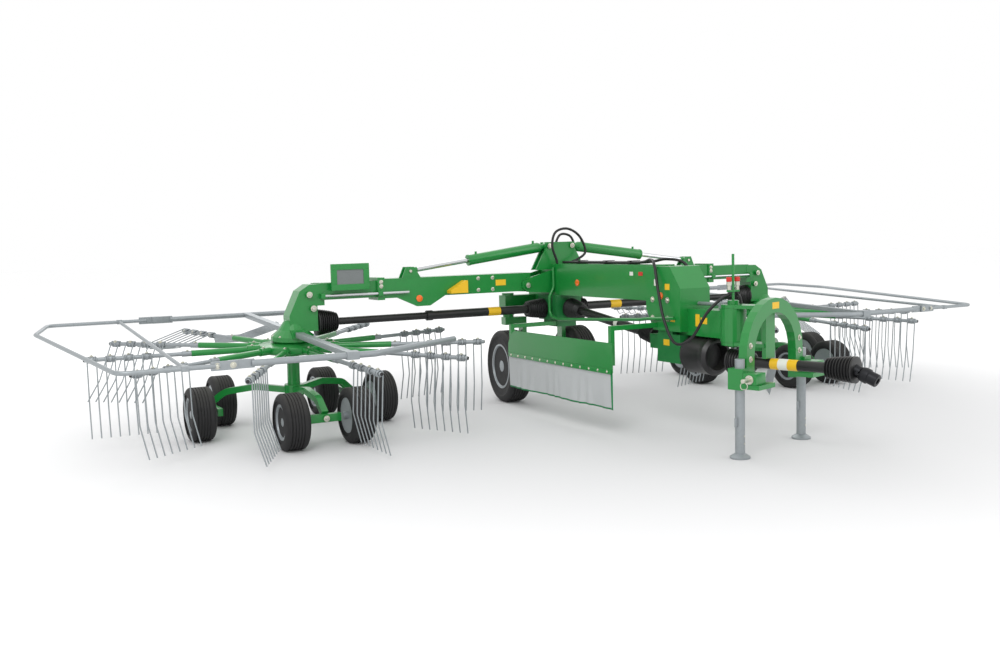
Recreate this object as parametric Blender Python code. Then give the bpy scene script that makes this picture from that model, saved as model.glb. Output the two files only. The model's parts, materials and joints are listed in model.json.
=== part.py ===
"""Twin rotor hay rake: a towed centre-delivery rake standing unhitched on its wheels and parking legs.

Metres, +Z up. The machine drives towards -Y and its left side is +X. The origin is on the ground
under the middle of the machine's bounding box.
"""

import math

import bmesh
import bpy
from mathutils import Matrix, Vector

# ---- driving dimensions ------------------------------------------------------------------------
TOUCH = 0.0003            # gap between faces that touch
RUN = 0.0006              # gap between faces that run on each other
PIN_PLAY = 0.0016         # radial play of a joint pin in its bore

LINE_Y = 0.8911           # rotor line, behind the middle of the machine
ROTOR_X = 2.47            # rotor axis, each side of the middle
ROTOR_Z = 0.68            # arm height on the rotor axis
ROTOR_TILT = math.radians(2.75)

ARM_COUNT = 11
ARM_START = math.radians(297.6)
ARM_REACH = 1.54
ARM_R = 0.016
HUB_ARM_REACH = 0.78
HUB_ARM_R = 0.024
PRONG_PAIRS = 4
PRONG_FIRST = 1.07
PRONG_PITCH = 0.064
PRONG_R = 0.0048
PRONG_LENGTH = 0.58

CARRIER_R = 0.27
POST_R = 0.05
DISC_R = 0.17

TYRE_R = 0.21
TYRE_W = 0.18
TYRE_SIDES = 14
ROAD_R = 0.33
ROAD_W = 0.20
ROAD_TOP = 2 * ROAD_R
KINGPIN_X = 0.36
KINGPIN_Y = 0.25
REST_YAW = math.radians(16.7)
STEER_RATIO = -0.4

BEAM_HALF = 0.10
BEAM_TOP = 1.26
BEAM_BOTTOM = 0.985
BEAM_REAR = 0.15
TOWER_REAR = -1.54
TOWER_FRONT = -1.95
TOWER_HALF = 0.14
TOWER_BOTTOM = 0.77
DRAWBAR_BOTTOM = 0.745
DRAWBAR_TOP = 0.94
DRAWBAR_HALF = 0.07
YAW_Y = -2.36
YAW_BOSS_R = 0.09
YAW_PIN_R = 0.04

BOOM_PIVOT_X = 0.36
BOOM_PIVOT_Z = 1.08
BOOM_PIN_R = 0.03
BOOM_HALF_Y = 0.095
BOOM_LOW = 1.03
BOOM_HIGH = 1.19
BOOM_WALL = 0.012
BOOM_END = 1.76
SLIDER_START = 1.30
BOARD_GAP = 0.03          # the sign board stands this far in front of the boom, so it clears the collar
MAST_X = 0.12
MAST_Z = 1.42
CYL_Y = -0.05
LUG_X = 1.47
LUG_Z = 1.245
BARREL_R = 0.045
BARREL_LENGTH = 0.80
ROD_R = 0.02

SHAFT_Z = 0.86
SHAFT_R = 0.0375
SHAFT_ROD_R = 0.0305
SHAFT_WALL_GAP = 0.0007
PTO_Z = 0.585

HOOP_Z = 0.115
HOOP_R = 0.0225
RAIL_R = 0.015
HOOP_FRONT = -1.34
HOOP_REAR = 1.40
FOLD_U = 0.80

LEG_SPREAD = 0.415
LEG_AHEAD = 0.30
LEG_R = 0.0325
FOOT_R = 0.0675
ARCH_TOP = 1.04

CURTAIN_X = -0.58
CURTAIN_FRONT = -1.70
CURTAIN_REAR = -0.13
PANEL_TOP = 0.70
PANEL_BOTTOM = 0.48
SHEET_BOTTOM = 0.20
PANEL_T = 0.008
HANGER_HALF = 0.0175
SHEET_T = 0.006

HOSE_R = 0.011
GUARD_TUBE_R = 0.0135

COLOURS = {
    "green_paint": ((0.012, 0.19, 0.055), 0.35, 0.0),
    "galvanised": ((0.55, 0.57, 0.58), 0.45, 0.9),
    "black_plastic": ((0.02, 0.02, 0.022), 0.5, 0.0),
    "tyre": ((0.025, 0.025, 0.026), 0.85, 0.0),
    "grey_fabric": ((0.42, 0.43, 0.43), 0.9, 0.0),
    "chrome_rod": ((0.6, 0.6, 0.6), 0.15, 1.0),
    "hose_rubber": ((0.015, 0.015, 0.016), 0.6, 0.0),
    "yellow_plastic": ((0.75, 0.5, 0.02), 0.5, 0.0),
    "board": ((0.25, 0.26, 0.26), 0.6, 0.0),
}


# ---- helpers -----------------------------------------------------------------------------------
def material(name):
    found = bpy.data.materials.get(name)
    if found:
        return found
    colour, roughness, metallic = COLOURS[name]
    made = bpy.data.materials.new(name)
    made.use_nodes = True
    shader = made.node_tree.nodes["Principled BSDF"]
    shader.inputs["Base Color"].default_value = (*colour, 1.0)
    shader.inputs["Roughness"].default_value = roughness
    shader.inputs["Metallic"].default_value = metallic
    return made


def closed(bm):
    """Finish a bmesh: outward faces, and its place in a new mesh."""
    bmesh.ops.recalc_face_normals(bm, faces=bm.faces)
    mesh = bpy.data.meshes.new("solid")
    bm.to_mesh(mesh)
    bm.free()
    return mesh


def block(low, high):
    bm = bmesh.new()
    bmesh.ops.create_cube(bm, size=1.0)
    for vert in bm.verts:
        vert.co = Vector(low[i] if vert.co[i] < 0 else high[i] for i in range(3))
    return closed(bm)


def prism(outline, axis, low, high):
    """Extrude an outline, given in the other two axes' order, along X, Y or Z."""
    def place(a, b, c):
        return {"X": (c, a, b), "Y": (a, c, b), "Z": (a, b, c)}[axis]
    bm = bmesh.new()
    ends = [[bm.verts.new(place(a, b, c)) for a, b in outline] for c in (low, high)]
    bm.faces.new(ends[0])
    bm.faces.new(ends[1])
    for i in range(len(outline)):
        j = (i + 1) % len(outline)
        bm.faces.new((ends[0][i], ends[0][j], ends[1][j], ends[1][i]))
    return closed(bm)


def skin(rings, start=None, end=None):
    """Close a row of equal rings into one solid, with points or flat caps as ends."""
    bm = bmesh.new()
    rows = [[bm.verts.new(p) for p in ring] for ring in rings]
    count = len(rows[0])
    for one, two in zip(rows, rows[1:]):
        for i in range(count):
            j = (i + 1) % count
            bm.faces.new((one[i], one[j], two[j], two[i]))
    for row, tip in ((rows[0], start), (rows[-1], end)):
        if tip is None:
            bm.faces.new(row)
        else:
            point = bm.verts.new(tip)
            for i in range(count):
                bm.faces.new((row[i], row[(i + 1) % count], point))
    return closed(bm)


def frame_along(direction):
    direction = Vector(direction).normalized()
    helper = Vector((0, 0, 1)) if abs(direction.z) < 0.9 else Vector((1, 0, 0))
    side = direction.cross(helper).normalized()
    return side, side.cross(direction).normalized()


def turned(profile, start, direction, sides=16, phase=0.5):
    """Turn (distance, radius) pairs about a line; every radius is over 0."""
    start = Vector(start)
    along = Vector(direction).normalized()
    side, up = frame_along(along)
    rings = []
    for distance, radius in profile:
        centre = start + along * distance
        angles = [2 * math.pi * (i + phase) / sides for i in range(sides)]
        rings.append([centre + (side * math.cos(a) + up * math.sin(a)) * radius for a in angles])
    return skin(rings)


def rod(a, b, radius, sides=12):
    a, b = Vector(a), Vector(b)
    return turned([(0, radius), ((b - a).length, radius)], a, b - a, sides)


def tube(points, radius, sides=8):
    """A round bar swept along straight legs with mitred corners."""
    points = [Vector(p) for p in points]
    legs = [(b - a).normalized() for a, b in zip(points, points[1:])]
    side, up = frame_along(legs[0])
    rings = []
    for i, point in enumerate(points):
        before = legs[max(i - 1, 0)]
        after = legs[min(i, len(legs) - 1)]
        normal = (before + after).normalized()
        if i:
            turn = legs[max(i - 2, 0)].rotation_difference(before)
            side, up = turn @ side, turn @ up
        ring = []
        for k in range(sides):
            angle = 2 * math.pi * (k + 0.5) / sides
            spot = (side * math.cos(angle) + up * math.sin(angle)) * radius
            ring.append(point + spot - before * (spot.dot(normal) / before.dot(normal)))
        rings.append(ring)
    return skin(rings)


def bar(a, b, half_wide, half_tall):
    """A box bar from a to b, its tall side as near upright as its slope lets it be."""
    a, b = Vector(a), Vector(b)
    side, up = frame_along(b - a)
    corners = ((-1, -1), (1, -1), (1, 1), (-1, 1))
    rings = [[p + side * (i * half_wide) + up * (j * half_tall) for i, j in corners] for p in (a, b)]
    return skin(rings)


def moved(mesh, matrix):
    mesh.transform(matrix)
    return mesh


def combine(meshes, operation="UNION"):
    """One closed solid: the first mesh with the others added or cut away."""
    scene = bpy.context.scene.collection
    holders = []
    for mesh in meshes:
        holder = bpy.data.objects.new("solid", mesh)
        scene.objects.link(holder)
        holders.append(holder)
    for other in holders[1:]:
        step = holders[0].modifiers.new("combine", "BOOLEAN")
        step.operation = operation
        step.solver = "EXACT"
        step.object = other
    graph = bpy.context.evaluated_depsgraph_get()
    result = bpy.data.meshes.new_from_object(holders[0].evaluated_get(graph))
    for holder in holders:
        bpy.data.objects.remove(holder)
    return result


def together(meshes):
    """Several separate solids in one mesh, for a single Boolean step."""
    bm = bmesh.new()
    for mesh in meshes:
        bm.from_mesh(mesh)
    result = bpy.data.meshes.new("group")
    bm.to_mesh(result)
    bm.free()
    return result


def node(name, meshes, colour, origin=(0, 0, 0), cuts=()):
    """Make one named sub-part, with its origin on its joint's axis."""
    mesh = combine(list(meshes)) if len(meshes) > 1 else meshes[0]
    if cuts:
        mesh = combine([mesh, *cuts], "DIFFERENCE")
    origin = Vector(origin)
    mesh.transform(Matrix.Translation(-origin))
    mesh.materials.clear()
    mesh.materials.append(material(colour))
    mesh.shade_smooth()
    mesh.set_sharp_from_angle(angle=math.radians(35))
    made = bpy.data.objects.new(name, mesh)
    made.location = origin + Vector((0, LINE_Y, 0))
    bpy.context.scene.collection.objects.link(made)
    return made


def sides():
    return (("left", 1), ("right", -1))


# ---- frame -------------------------------------------------------------------------------------
def main_frame():
    beam = block((-BEAM_HALF, TOWER_REAR - 0.05, BEAM_BOTTOM), (BEAM_HALF, BEAM_REAR, BEAM_TOP))
    tower = prism(
        [(TOWER_REAR, BEAM_TOP - 0.01), (TOWER_FRONT + 0.12, BEAM_TOP - 0.01),
         (TOWER_FRONT, BEAM_TOP - 0.17), (TOWER_FRONT, TOWER_BOTTOM),
         (TOWER_REAR - 0.09, TOWER_BOTTOM), (TOWER_REAR, BEAM_BOTTOM - 0.06)],
        "X", -TOWER_HALF, TOWER_HALF)
    drawbar = block((-DRAWBAR_HALF, YAW_Y, DRAWBAR_BOTTOM), (DRAWBAR_HALF, TOWER_FRONT + 0.1, DRAWBAR_TOP))
    boss = rod((0, YAW_Y, DRAWBAR_BOTTOM - 0.02), (0, YAW_Y, DRAWBAR_TOP + 0.02), YAW_BOSS_R, 20)
    pin = rod((0, YAW_Y, DRAWBAR_BOTTOM - 0.06), (0, YAW_Y, DRAWBAR_TOP + 0.075), YAW_PIN_R, 20)
    hose_rod = rod((0, YAW_Y, DRAWBAR_TOP + 0.05), (0, YAW_Y, 1.34), 0.010, 8)
    hose_hook = block((-0.05, YAW_Y - 0.012, 1.075), (0.05, YAW_Y + 0.012, 1.087))
    rear = block((-BEAM_HALF, BEAM_REAR - 0.04, ROAD_TOP + 0.18),
                 (BEAM_HALF, KINGPIN_Y + 0.06, BEAM_BOTTOM + 0.04))
    cross = block((-KINGPIN_X - 0.06, KINGPIN_Y - 0.06, ROAD_TOP + 0.21),
                  (KINGPIN_X + 0.06, KINGPIN_Y + 0.06, ROAD_TOP + 0.32))
    pieces = [beam, tower, drawbar, boss, pin, hose_rod, hose_hook, rear, cross]
    for _, s in sides():
        pieces.append(rod((s * KINGPIN_X, KINGPIN_Y, ROAD_TOP + 0.14),
                          (s * KINGPIN_X, KINGPIN_Y, ROAD_TOP + 0.34), 0.055, 16))
    top = MAST_X + 0.035
    outline = [(-0.26, BEAM_TOP - 0.05), (0.26, BEAM_TOP - 0.05), (top, MAST_Z - 0.02),
               (top, MAST_Z + 0.035), (-top, MAST_Z + 0.035), (-top, MAST_Z - 0.02)]
    half_eye = 0.03 + RUN
    for near, far in ((CYL_Y - half_eye - 0.014, CYL_Y - half_eye),
                      (CYL_Y + half_eye, CYL_Y + half_eye + 0.014)):
        pieces.append(prism(outline, "Y", near, far))
    for _, s in sides():
        pieces.append(rod((s * MAST_X, CYL_Y - half_eye - 0.03, MAST_Z),
                          (s * MAST_X, CYL_Y + half_eye + 0.03, MAST_Z), 0.02, 16))
    cheek = BOOM_HALF_Y + RUN
    lug = [(0.05, 1.0), (BOOM_PIVOT_X, BOOM_PIVOT_Z - 0.06), (BOOM_PIVOT_X + 0.05, BOOM_PIVOT_Z - 0.02),
           (BOOM_PIVOT_X + 0.05, BOOM_PIVOT_Z + 0.03), (BOOM_PIVOT_X, BOOM_PIVOT_Z + 0.06), (0.05, 1.22)]
    for _, s in sides():
        for t in (-1, 1):
            outline = [(s * x, z) for x, z in lug]
            near, far = sorted((t * cheek, t * (cheek + 0.02)))
            pieces.append(prism(outline, "Y", near, far))
        pieces.append(rod((s * BOOM_PIVOT_X, -cheek - 0.035, BOOM_PIVOT_Z),
                          (s * BOOM_PIVOT_X, cheek + 0.035, BOOM_PIVOT_Z), BOOM_PIN_R, 24))
    node("main_frame", pieces, "green_paint")


def drive_line():
    node("drive_housing", [
        block((-0.12, TOWER_FRONT + 0.03, 0.53), (0.12, TOWER_REAR - 0.11, DRAWBAR_BOTTOM - TOUCH)),
        block((-0.12, TOWER_FRONT + 0.12, 0.72), (0.12, TOWER_REAR - 0.12, TOWER_BOTTOM - TOUCH)),
        block((-0.09, TOWER_REAR - 0.12, 0.62), (0.09, TOWER_REAR + 0.02, 0.73)),
    ], "green_paint")
    gear_front = -0.22
    node("centre_gearbox", [block((-0.13, gear_front, 0.76), (0.13, 0.09, BEAM_BOTTOM - TOUCH)),
                            block((-0.10, gear_front + 0.04, 0.70), (0.10, 0.05, 0.78))], "green_paint")
    rear = Vector((0, gear_front - RUN, 0.87))
    front = Vector((0, TOWER_REAR + 0.02 + RUN, 0.70))
    length = (front - rear).length
    profile = [(0.0, 0.09), (0.16, 0.09), (0.19, SHAFT_R), (length - 0.21, SHAFT_R),
               (length - 0.18, 0.075), (length - 0.02, 0.075)]
    node("centre_shaft_guard", [turned(profile, rear + (front - rear).normalized() * 0.012,
                                       front - rear, 14)], "black_plastic")
    start = TOWER_FRONT + 0.03 - TOUCH
    node("input_guard", [turned([(0, 0.10), (0.02, 0.14), (0.26, 0.14), (0.28, 0.12)],
                                (0, start, PTO_Z + 0.015), (0, -1, 0), 18)], "black_plastic")


def frame_trim():
    stand_off = GUARD_TUBE_R * math.cos(math.pi / 8) + TOUCH
    x = -BEAM_HALF - stand_off
    points = [(x, -0.15, BEAM_TOP - 0.03), (x, -0.15, 1.05), (x - 0.045, -0.15, 0.97),
              (x - 0.045, -0.15, 0.83), (x - 0.045, -0.19, 0.79), (x - 0.045, -0.30, 0.775),
              (x - 0.045, TOWER_REAR + 0.05, 0.84), (-TOWER_HALF - stand_off, TOWER_REAR - 0.02, 0.85),
              (-TOWER_HALF - stand_off, TOWER_FRONT + 0.06, 0.87)]
    node("guard_tube", [tube(points, GUARD_TUBE_R, 8)], "green_paint")
    z = DRAWBAR_TOP + 0.035
    node("steering_rod", [
        rod((0.035, YAW_Y + 0.12, z), (0.035, TOWER_FRONT - TOUCH, z), 0.014, 10),
        block((0.015, YAW_Y + 0.11, DRAWBAR_TOP + TOUCH), (0.055, YAW_Y + 0.17, z + 0.02)),
    ], "galvanised")


def curtain():
    x = CURTAIN_X
    node("curtain_panel", [
        block((x, CURTAIN_FRONT, PANEL_BOTTOM), (x + PANEL_T, CURTAIN_REAR - 0.25, PANEL_TOP)),
        prism([(CURTAIN_REAR - 0.26, PANEL_TOP), (CURTAIN_REAR - 0.26, PANEL_BOTTOM),
               (CURTAIN_REAR, PANEL_BOTTOM),
               (CURTAIN_REAR, PANEL_TOP - 0.12), (CURTAIN_REAR - 0.04, PANEL_TOP - 0.04),
               (CURTAIN_REAR - 0.12, PANEL_TOP)], "X", x, x + PANEL_T),
    ], "green_paint")
    low = x + (PANEL_T - SHEET_T) / 2
    node("curtain_sheet", [block((low, CURTAIN_FRONT, SHEET_BOTTOM),
                                 (low + SHEET_T, CURTAIN_REAR, PANEL_BOTTOM - TOUCH))], "grey_fabric")
    at = x + PANEL_T + TOUCH + HANGER_HALF
    for name, y, top, side in (("curtain_hanger_front", CURTAIN_FRONT + 0.04, 0.825, TOWER_HALF),
                               ("curtain_hanger_rear", -0.155, 0.75, 0.10)):
        post = block((at - HANGER_HALF, y - HANGER_HALF, PANEL_BOTTOM + 0.05),
                     (at + HANGER_HALF, y + HANGER_HALF, top))
        arm = block((at, y - HANGER_HALF, top - 2 * HANGER_HALF), (-side - TOUCH, y + HANGER_HALF, top))
        node(name, [post, arm], "green_paint")


# ---- rear steering -----------------------------------------------------------------------------
def wheel(radius, width, boss_reach, boss_r, rim_r):
    """A tyre and its hub about the X axis; the hub reaches boss_reach from the middle towards -X."""
    half = width / 2
    true_r = radius / math.cos(math.pi / TYRE_SIDES)
    profile = [(-boss_reach, boss_r), (-half + 0.02, boss_r), (-half + 0.012, rim_r), (-half, 0.8 * true_r),
               (-half + 0.035, true_r), (half - 0.035, true_r), (half, 0.8 * true_r), (half - 0.012, rim_r)]
    flat_down = 0.5 - (TYRE_SIDES % 4) / 4
    return turned(profile, (0, 0, 0), (1, 0, 0), TYRE_SIDES, flat_down)


def rear_steering():
    for name, s in sides():
        pin = Vector((s * KINGPIN_X, KINGPIN_Y, 0))
        place = Matrix.Translation(pin) @ Matrix.Rotation(STEER_RATIO * REST_YAW, 4, "Z")
        inner = KINGPIN_X - 0.24
        top = ROAD_TOP + 0.14 - RUN
        low, high = sorted((-s * (inner + 0.04), s * 0.05))
        leg_low, leg_high = sorted((-s * (inner + 0.04), -s * inner))
        pieces = [block((low, -0.05, ROAD_TOP + 0.05), (high, 0.05, top - 0.02)),
                  rod((0, 0, top - 0.05), (0, 0, top), 0.05, 16),
                  block((leg_low, -0.05, ROAD_R - 0.05), (leg_high, 0.05, ROAD_TOP + 0.09))]
        node("steering_knuckle_" + name, [moved(p, place) for p in pieces], "green_paint", pin)
        made = wheel(ROAD_R, ROAD_W, inner - RUN, 0.05, 0.19)
        if s < 0:
            made = moved(made, Matrix.Rotation(math.pi, 4, "Z"))
        hub = place @ Vector((0, 0, ROAD_R))
        node("transport_wheel_" + name, [moved(made, place @ Matrix.Translation((0, 0, ROAD_R)))],
             "tyre", hub)


# ---- booms and lift cylinders ------------------------------------------------------------------
def booms():
    for name, s in sides():
        y = BOOM_HALF_Y
        def span(a, b):
            return sorted((s * a, s * b))
        low, high = span(BOOM_PIVOT_X - 0.04, BOOM_END)
        pieces = [block((low, -y, BOOM_LOW), (high, y, BOOM_HIGH))]
        gusset = [(s * 1.14, BOOM_LOW + 0.01), (s * 1.62, BOOM_LOW + 0.01), (s * 1.42, BOOM_LOW - 0.08),
                  (s * 1.30, BOOM_LOW - 0.08)]
        pieces.append(prism(gusset, "Y", -y - 0.001, -y + 0.015))
        low, high = span(BOOM_END - 0.05, BOOM_END + 0.012)
        pieces.append(block((low, -y - 0.012, BOOM_LOW - 0.012), (high, y + 0.012, BOOM_HIGH + 0.012)))
        lug = [(s * (LUG_X - 0.10), BOOM_HIGH - 0.01), (s * (LUG_X + 0.08), BOOM_HIGH - 0.01),
               (s * (LUG_X + 0.035), LUG_Z + 0.035), (s * (LUG_X - 0.035), LUG_Z + 0.035)]
        for t in (-1, 1):
            near, far = sorted((CYL_Y + t * 0.026, CYL_Y + t * 0.038))
            pieces.append(prism(lug, "Y", near, far))
        cavity = [*span(0.98, BOOM_END + 0.05)]
        bore = block((cavity[0], -y + BOOM_WALL, BOOM_LOW + BOOM_WALL),
                     (cavity[1], y - BOOM_WALL, BOOM_HIGH - BOOM_WALL))
        eye = rod((s * BOOM_PIVOT_X, -y - 0.05, BOOM_PIVOT_Z), (s * BOOM_PIVOT_X, y + 0.05, BOOM_PIVOT_Z),
                  BOOM_PIN_R + PIN_PLAY, 24)
        pivot = (s * BOOM_PIVOT_X, 0, BOOM_PIVOT_Z)
        node("boom_" + name, pieces, "green_paint", pivot, [bore, eye])
        wedge = [(s * 0.98, BOOM_LOW + 0.015), (s * 1.14, BOOM_LOW + 0.015), (s * 1.14, BOOM_LOW + 0.04),
                 (s * 1.0, BOOM_LOW + 0.12), (s * 0.98, BOOM_LOW + 0.12)]
        node("wheel_chock_" + name, [prism(wedge, "Y", -y - TOUCH - 0.08, -y - TOUCH)],
             "yellow_plastic", pivot)
        start = 0.13 + RUN
        profile = [(0, 0.075), (0.01, 0.09), (0.14, 0.09), (0.18, SHAFT_R), (1.17, SHAFT_R)]
        hollow = rod((s * 0.70, 0, SHAFT_Z), (s * 1.5, 0, SHAFT_Z), SHAFT_ROD_R + SHAFT_WALL_GAP, 14)
        node("side_shaft_inner_" + name, [turned(profile, (s * start, 0, SHAFT_Z), (s, 0, 0), 14)],
             "black_plastic", pivot, [hollow])


def lift_cylinders():
    for name, s in sides():
        pin = Vector((s * MAST_X, CYL_Y, MAST_Z))
        eye = Vector((s * LUG_X, CYL_Y, LUG_Z))
        along = (eye - pin).normalized()
        length = (eye - pin).length
        flat = Vector((0, 1, 0))
        knuckle = rod(pin - flat * 0.03, pin + flat * 0.03, 0.036, 16)
        hole = rod(pin - flat * 0.05, pin + flat * 0.05, 0.02 + PIN_PLAY, 16)
        barrel = turned([(0.02, 0.022), (0.045, 0.022), (0.09, BARREL_R), (BARREL_LENGTH, BARREL_R)],
                        pin, along, 16)
        bore = turned([(0.12, ROD_R + RUN), (BARREL_LENGTH + 0.05, ROD_R + RUN)], pin, along, 12)
        node("lift_barrel_" + name, [barrel, knuckle], "green_paint", pin, [hole, bore])
        stem = turned([(BARREL_LENGTH - 0.14, ROD_R), (length - 0.02, ROD_R)], pin, along, 12)
        ring = rod(eye - flat * 0.018, eye + flat * 0.018, 0.034, 14)
        node("lift_rod_" + name, [stem, ring], "chrome_rod", eye)


# ---- rotors ------------------------------------------------------------------------------------
def rotor_place(s):
    return Matrix.Translation((s * ROTOR_X, 0, ROTOR_Z)) @ Matrix.Rotation(ROTOR_TILT, 4, "X")


def trail_angle(near_angle):
    """How far the cam has swung an arm's tines up, by the arm's place round the near rotor."""
    degrees = math.degrees(near_angle) % 360
    if 15 < degrees < 125:
        return math.radians(75)
    if 125 <= degrees < 150:
        return math.radians(35)
    return 0.0


def tine_arm(s, angle):
    """One arm with its prongs in the rotor's frame; u points outboard."""
    near_angle = math.pi - angle
    swing = trail_angle(near_angle)
    out = Vector((s * math.cos(angle), math.sin(angle), 0))
    forward = Vector((-math.sin(near_angle), math.cos(near_angle), 0))
    trailing = Vector((s * forward.x, -forward.y, 0))
    down = Vector((0, 0, -1)) * math.cos(swing) + trailing * math.sin(swing)
    arm = rod(out * (HUB_ARM_REACH - 0.03), out * ARM_REACH, ARM_R, 8)
    hub_arm = rod(out * (CARRIER_R - 0.03), out * HUB_ARM_REACH, HUB_ARM_R, 8)
    prongs = []
    for pair in range(PRONG_PAIRS):
        for k in range(2):
            base = out * (PRONG_FIRST + PRONG_PITCH * (2 * pair + k))
            bend = base + down * (PRONG_LENGTH * 0.6)
            lean = (down - trailing_of(down, trailing) * 0.28).normalized()
            tip = bend + lean * (PRONG_LENGTH * 0.4)
            prongs.append(tube([base, bend, tip], PRONG_R, 4))
    return combine([combine([arm, hub_arm]), together(prongs)])


def trailing_of(down, trailing):
    """The direction the tine's lower end leans, square to its upper run."""
    return (trailing - down * trailing.dot(down)).normalized()


def rotors():
    for name, s in sides():
        place = rotor_place(s)
        carrier = turned([(0, CARRIER_R - 0.03), (0.02, CARRIER_R), (0.07, CARRIER_R), (0.085, 0.16)],
                         (0, 0, -0.045), (0, 0, 1), 22)
        arms = [tine_arm(s, ARM_START - k * 2 * math.pi / ARM_COUNT) for k in range(ARM_COUNT)]
        body = combine([carrier, together(arms)])
        bore = rod((0, 0, -0.2), (0, 0, 0.2), POST_R + 0.004, 20)
        axis = place @ Vector((0, 0, 0))
        node("rotor_" + name, [moved(combine([body, bore], "DIFFERENCE"), place)], "galvanised", axis)


def rotor_heads():
    for name, s in sides():
        place = rotor_place(s)
        disc = turned([(0, 0.15), (0.015, DISC_R), (0.05, DISC_R), (0.10, 0.11), (0.16, 0.07)],
                      (0, 0, 0.04 + RUN), (0, 0, 1), 20)
        post = rod((0, 0, -0.30), (0, 0, 0.10), POST_R, 20)
        ears = block((-0.05, -0.18, HOOP_Z - 0.03), (0.05, 0.18, HOOP_Z + 0.03))
        pieces = [moved(p, place) for p in (disc, post, ears)]
        def span(a, b):
            return sorted((s * a, s * b))
        gap = BOOM_WALL + RUN
        if s < 0:
            low, high = span(2.06, 2.15)
            pieces.append(block((low, -BOOM_HALF_Y - BOARD_GAP + TOUCH, BOOM_HIGH - 0.055),
                                (high, -BOOM_HALF_Y + gap + 0.02, BOOM_HIGH - gap - 0.004)))
        low, high = span(SLIDER_START, ROTOR_X - 0.22)
        pieces.append(block((low, -BOOM_HALF_Y + gap, BOOM_LOW + gap),
                            (high, BOOM_HALF_Y - gap, BOOM_HIGH - gap)))
        head = [(s * (ROTOR_X - 0.25), 1.0), (s * (ROTOR_X - 0.19), 1.0), (s * (ROTOR_X - 0.19), 0.80),
                (s * (ROTOR_X + 0.04), 0.80),
                (s * (ROTOR_X + 0.04), 0.93), (s * (ROTOR_X - 0.05), 1.12), (s * (ROTOR_X - 0.13), 1.17),
                (s * (ROTOR_X - 0.25), 1.17)]
        pieces.append(prism(head, "Y", -0.085, 0.085))
        for x, z in ((-0.12, 1.09), (-0.15, 0.98)):
            pieces.append(rod((s * (ROTOR_X + x), -0.115, z), (s * (ROTOR_X + x), 0.115, z), 0.024, 14))
        node("rotor_head_" + name, pieces, "green_paint", (s * BOOM_END, 0, 1.11))
        start = ROTOR_X - 0.19 - RUN
        profile = [(0, 0.09), (0.015, 0.11), (0.13, 0.11), (0.17, SHAFT_ROD_R), (start - 1.02, SHAFT_ROD_R)]
        node("side_shaft_outer_" + name, [turned(profile, (s * start, 0, SHAFT_Z), (-s, 0, 0), 14)],
             "black_plastic", (s * BOOM_END, 0, SHAFT_Z))
        low, high = span(1.86, 2.17)
        board_y = -BOOM_HALF_Y - BOARD_GAP
        if s < 0:
            node("sign_board", [block((low, board_y - 0.012, 1.12), (high, board_y, 1.32))],
                 "board", (s * BOOM_END, 0, 1.11))


# ---- undercarriage -----------------------------------------------------------------------------
FRONT_PAIR_Y = -0.72
REAR_NEAR = (0.74, 0.04)
REAR_FAR = (0.44, 0.64)
AXLE_BAR = 0.02


def undercarriages():
    for name, s in sides():
        place = Matrix.Translation((s * ROTOR_X, 0, 0))
        post_end = rotor_place(s) @ Vector((0, 0, -0.30 - TOUCH))
        post_end.x = 0
        down = Vector((0, math.sin(ROTOR_TILT), -math.cos(ROTOR_TILT)))
        hub = turned([(0, 0.075), (0.10, 0.075)], post_end, down, 16)
        z = TYRE_R
        centre = Vector((0, post_end.y, post_end.z - 0.05))
        mid_x = (REAR_NEAR[0] + REAR_FAR[0]) / 2
        mid_y = (REAR_NEAR[1] + REAR_FAR[1]) / 2
        pieces = [hub]
        ends = [(0, FRONT_PAIR_Y), (mid_x, mid_y), (-mid_x, mid_y)]
        for x, y in ends:
            end = Vector((x, y, z))
            rise = Vector((0, 0, 0.10))
            points = [centre, centre.lerp(end, 0.45) + rise * 0.9, centre.lerp(end, 0.82) + rise,
                      end + Vector((0, 0, 0.03))]
            pieces.append(tube(points, 0.028, 8))
        pieces.append(block((-0.12, FRONT_PAIR_Y - 0.03, z - 0.03), (0.12, FRONT_PAIR_Y + 0.03, z + 0.03)))
        for t in (-1, 1):
            low, high = sorted((t * (mid_x - AXLE_BAR), t * (mid_x + AXLE_BAR)))
            pieces.append(block((low, REAR_NEAR[1] - 0.03, z - 0.03), (high, REAR_FAR[1] + 0.03, z + 0.03)))
        node("undercarriage_" + name, [moved(p, place) for p in pieces], "green_paint",
             (s * ROTOR_X, 0, 0.3))
        spots = []
        for t in (-1, 1):
            spots.append((t * 0.25, FRONT_PAIR_Y, t, 0.13 - RUN))
            spots.append((t * REAR_NEAR[0], REAR_NEAR[1], t, REAR_NEAR[0] - mid_x - AXLE_BAR - RUN))
            spots.append((t * REAR_FAR[0], REAR_FAR[1], -t, mid_x - AXLE_BAR - REAR_FAR[0] - RUN))
        for number, (x, y, facing, reach) in enumerate(spots, 1):
            made = wheel(TYRE_R, TYRE_W, reach, 0.03, 0.105)
            if facing < 0:
                made = moved(made, Matrix.Rotation(math.pi, 4, "Z"))
            spot = Vector((s * ROTOR_X + x, y, z))
            node("rotor_wheel_%s_%d" % (name, number), [moved(made, Matrix.Translation(spot))], "tyre", spot)


# ---- guards ------------------------------------------------------------------------------------
PLATE_T = 0.012


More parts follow.
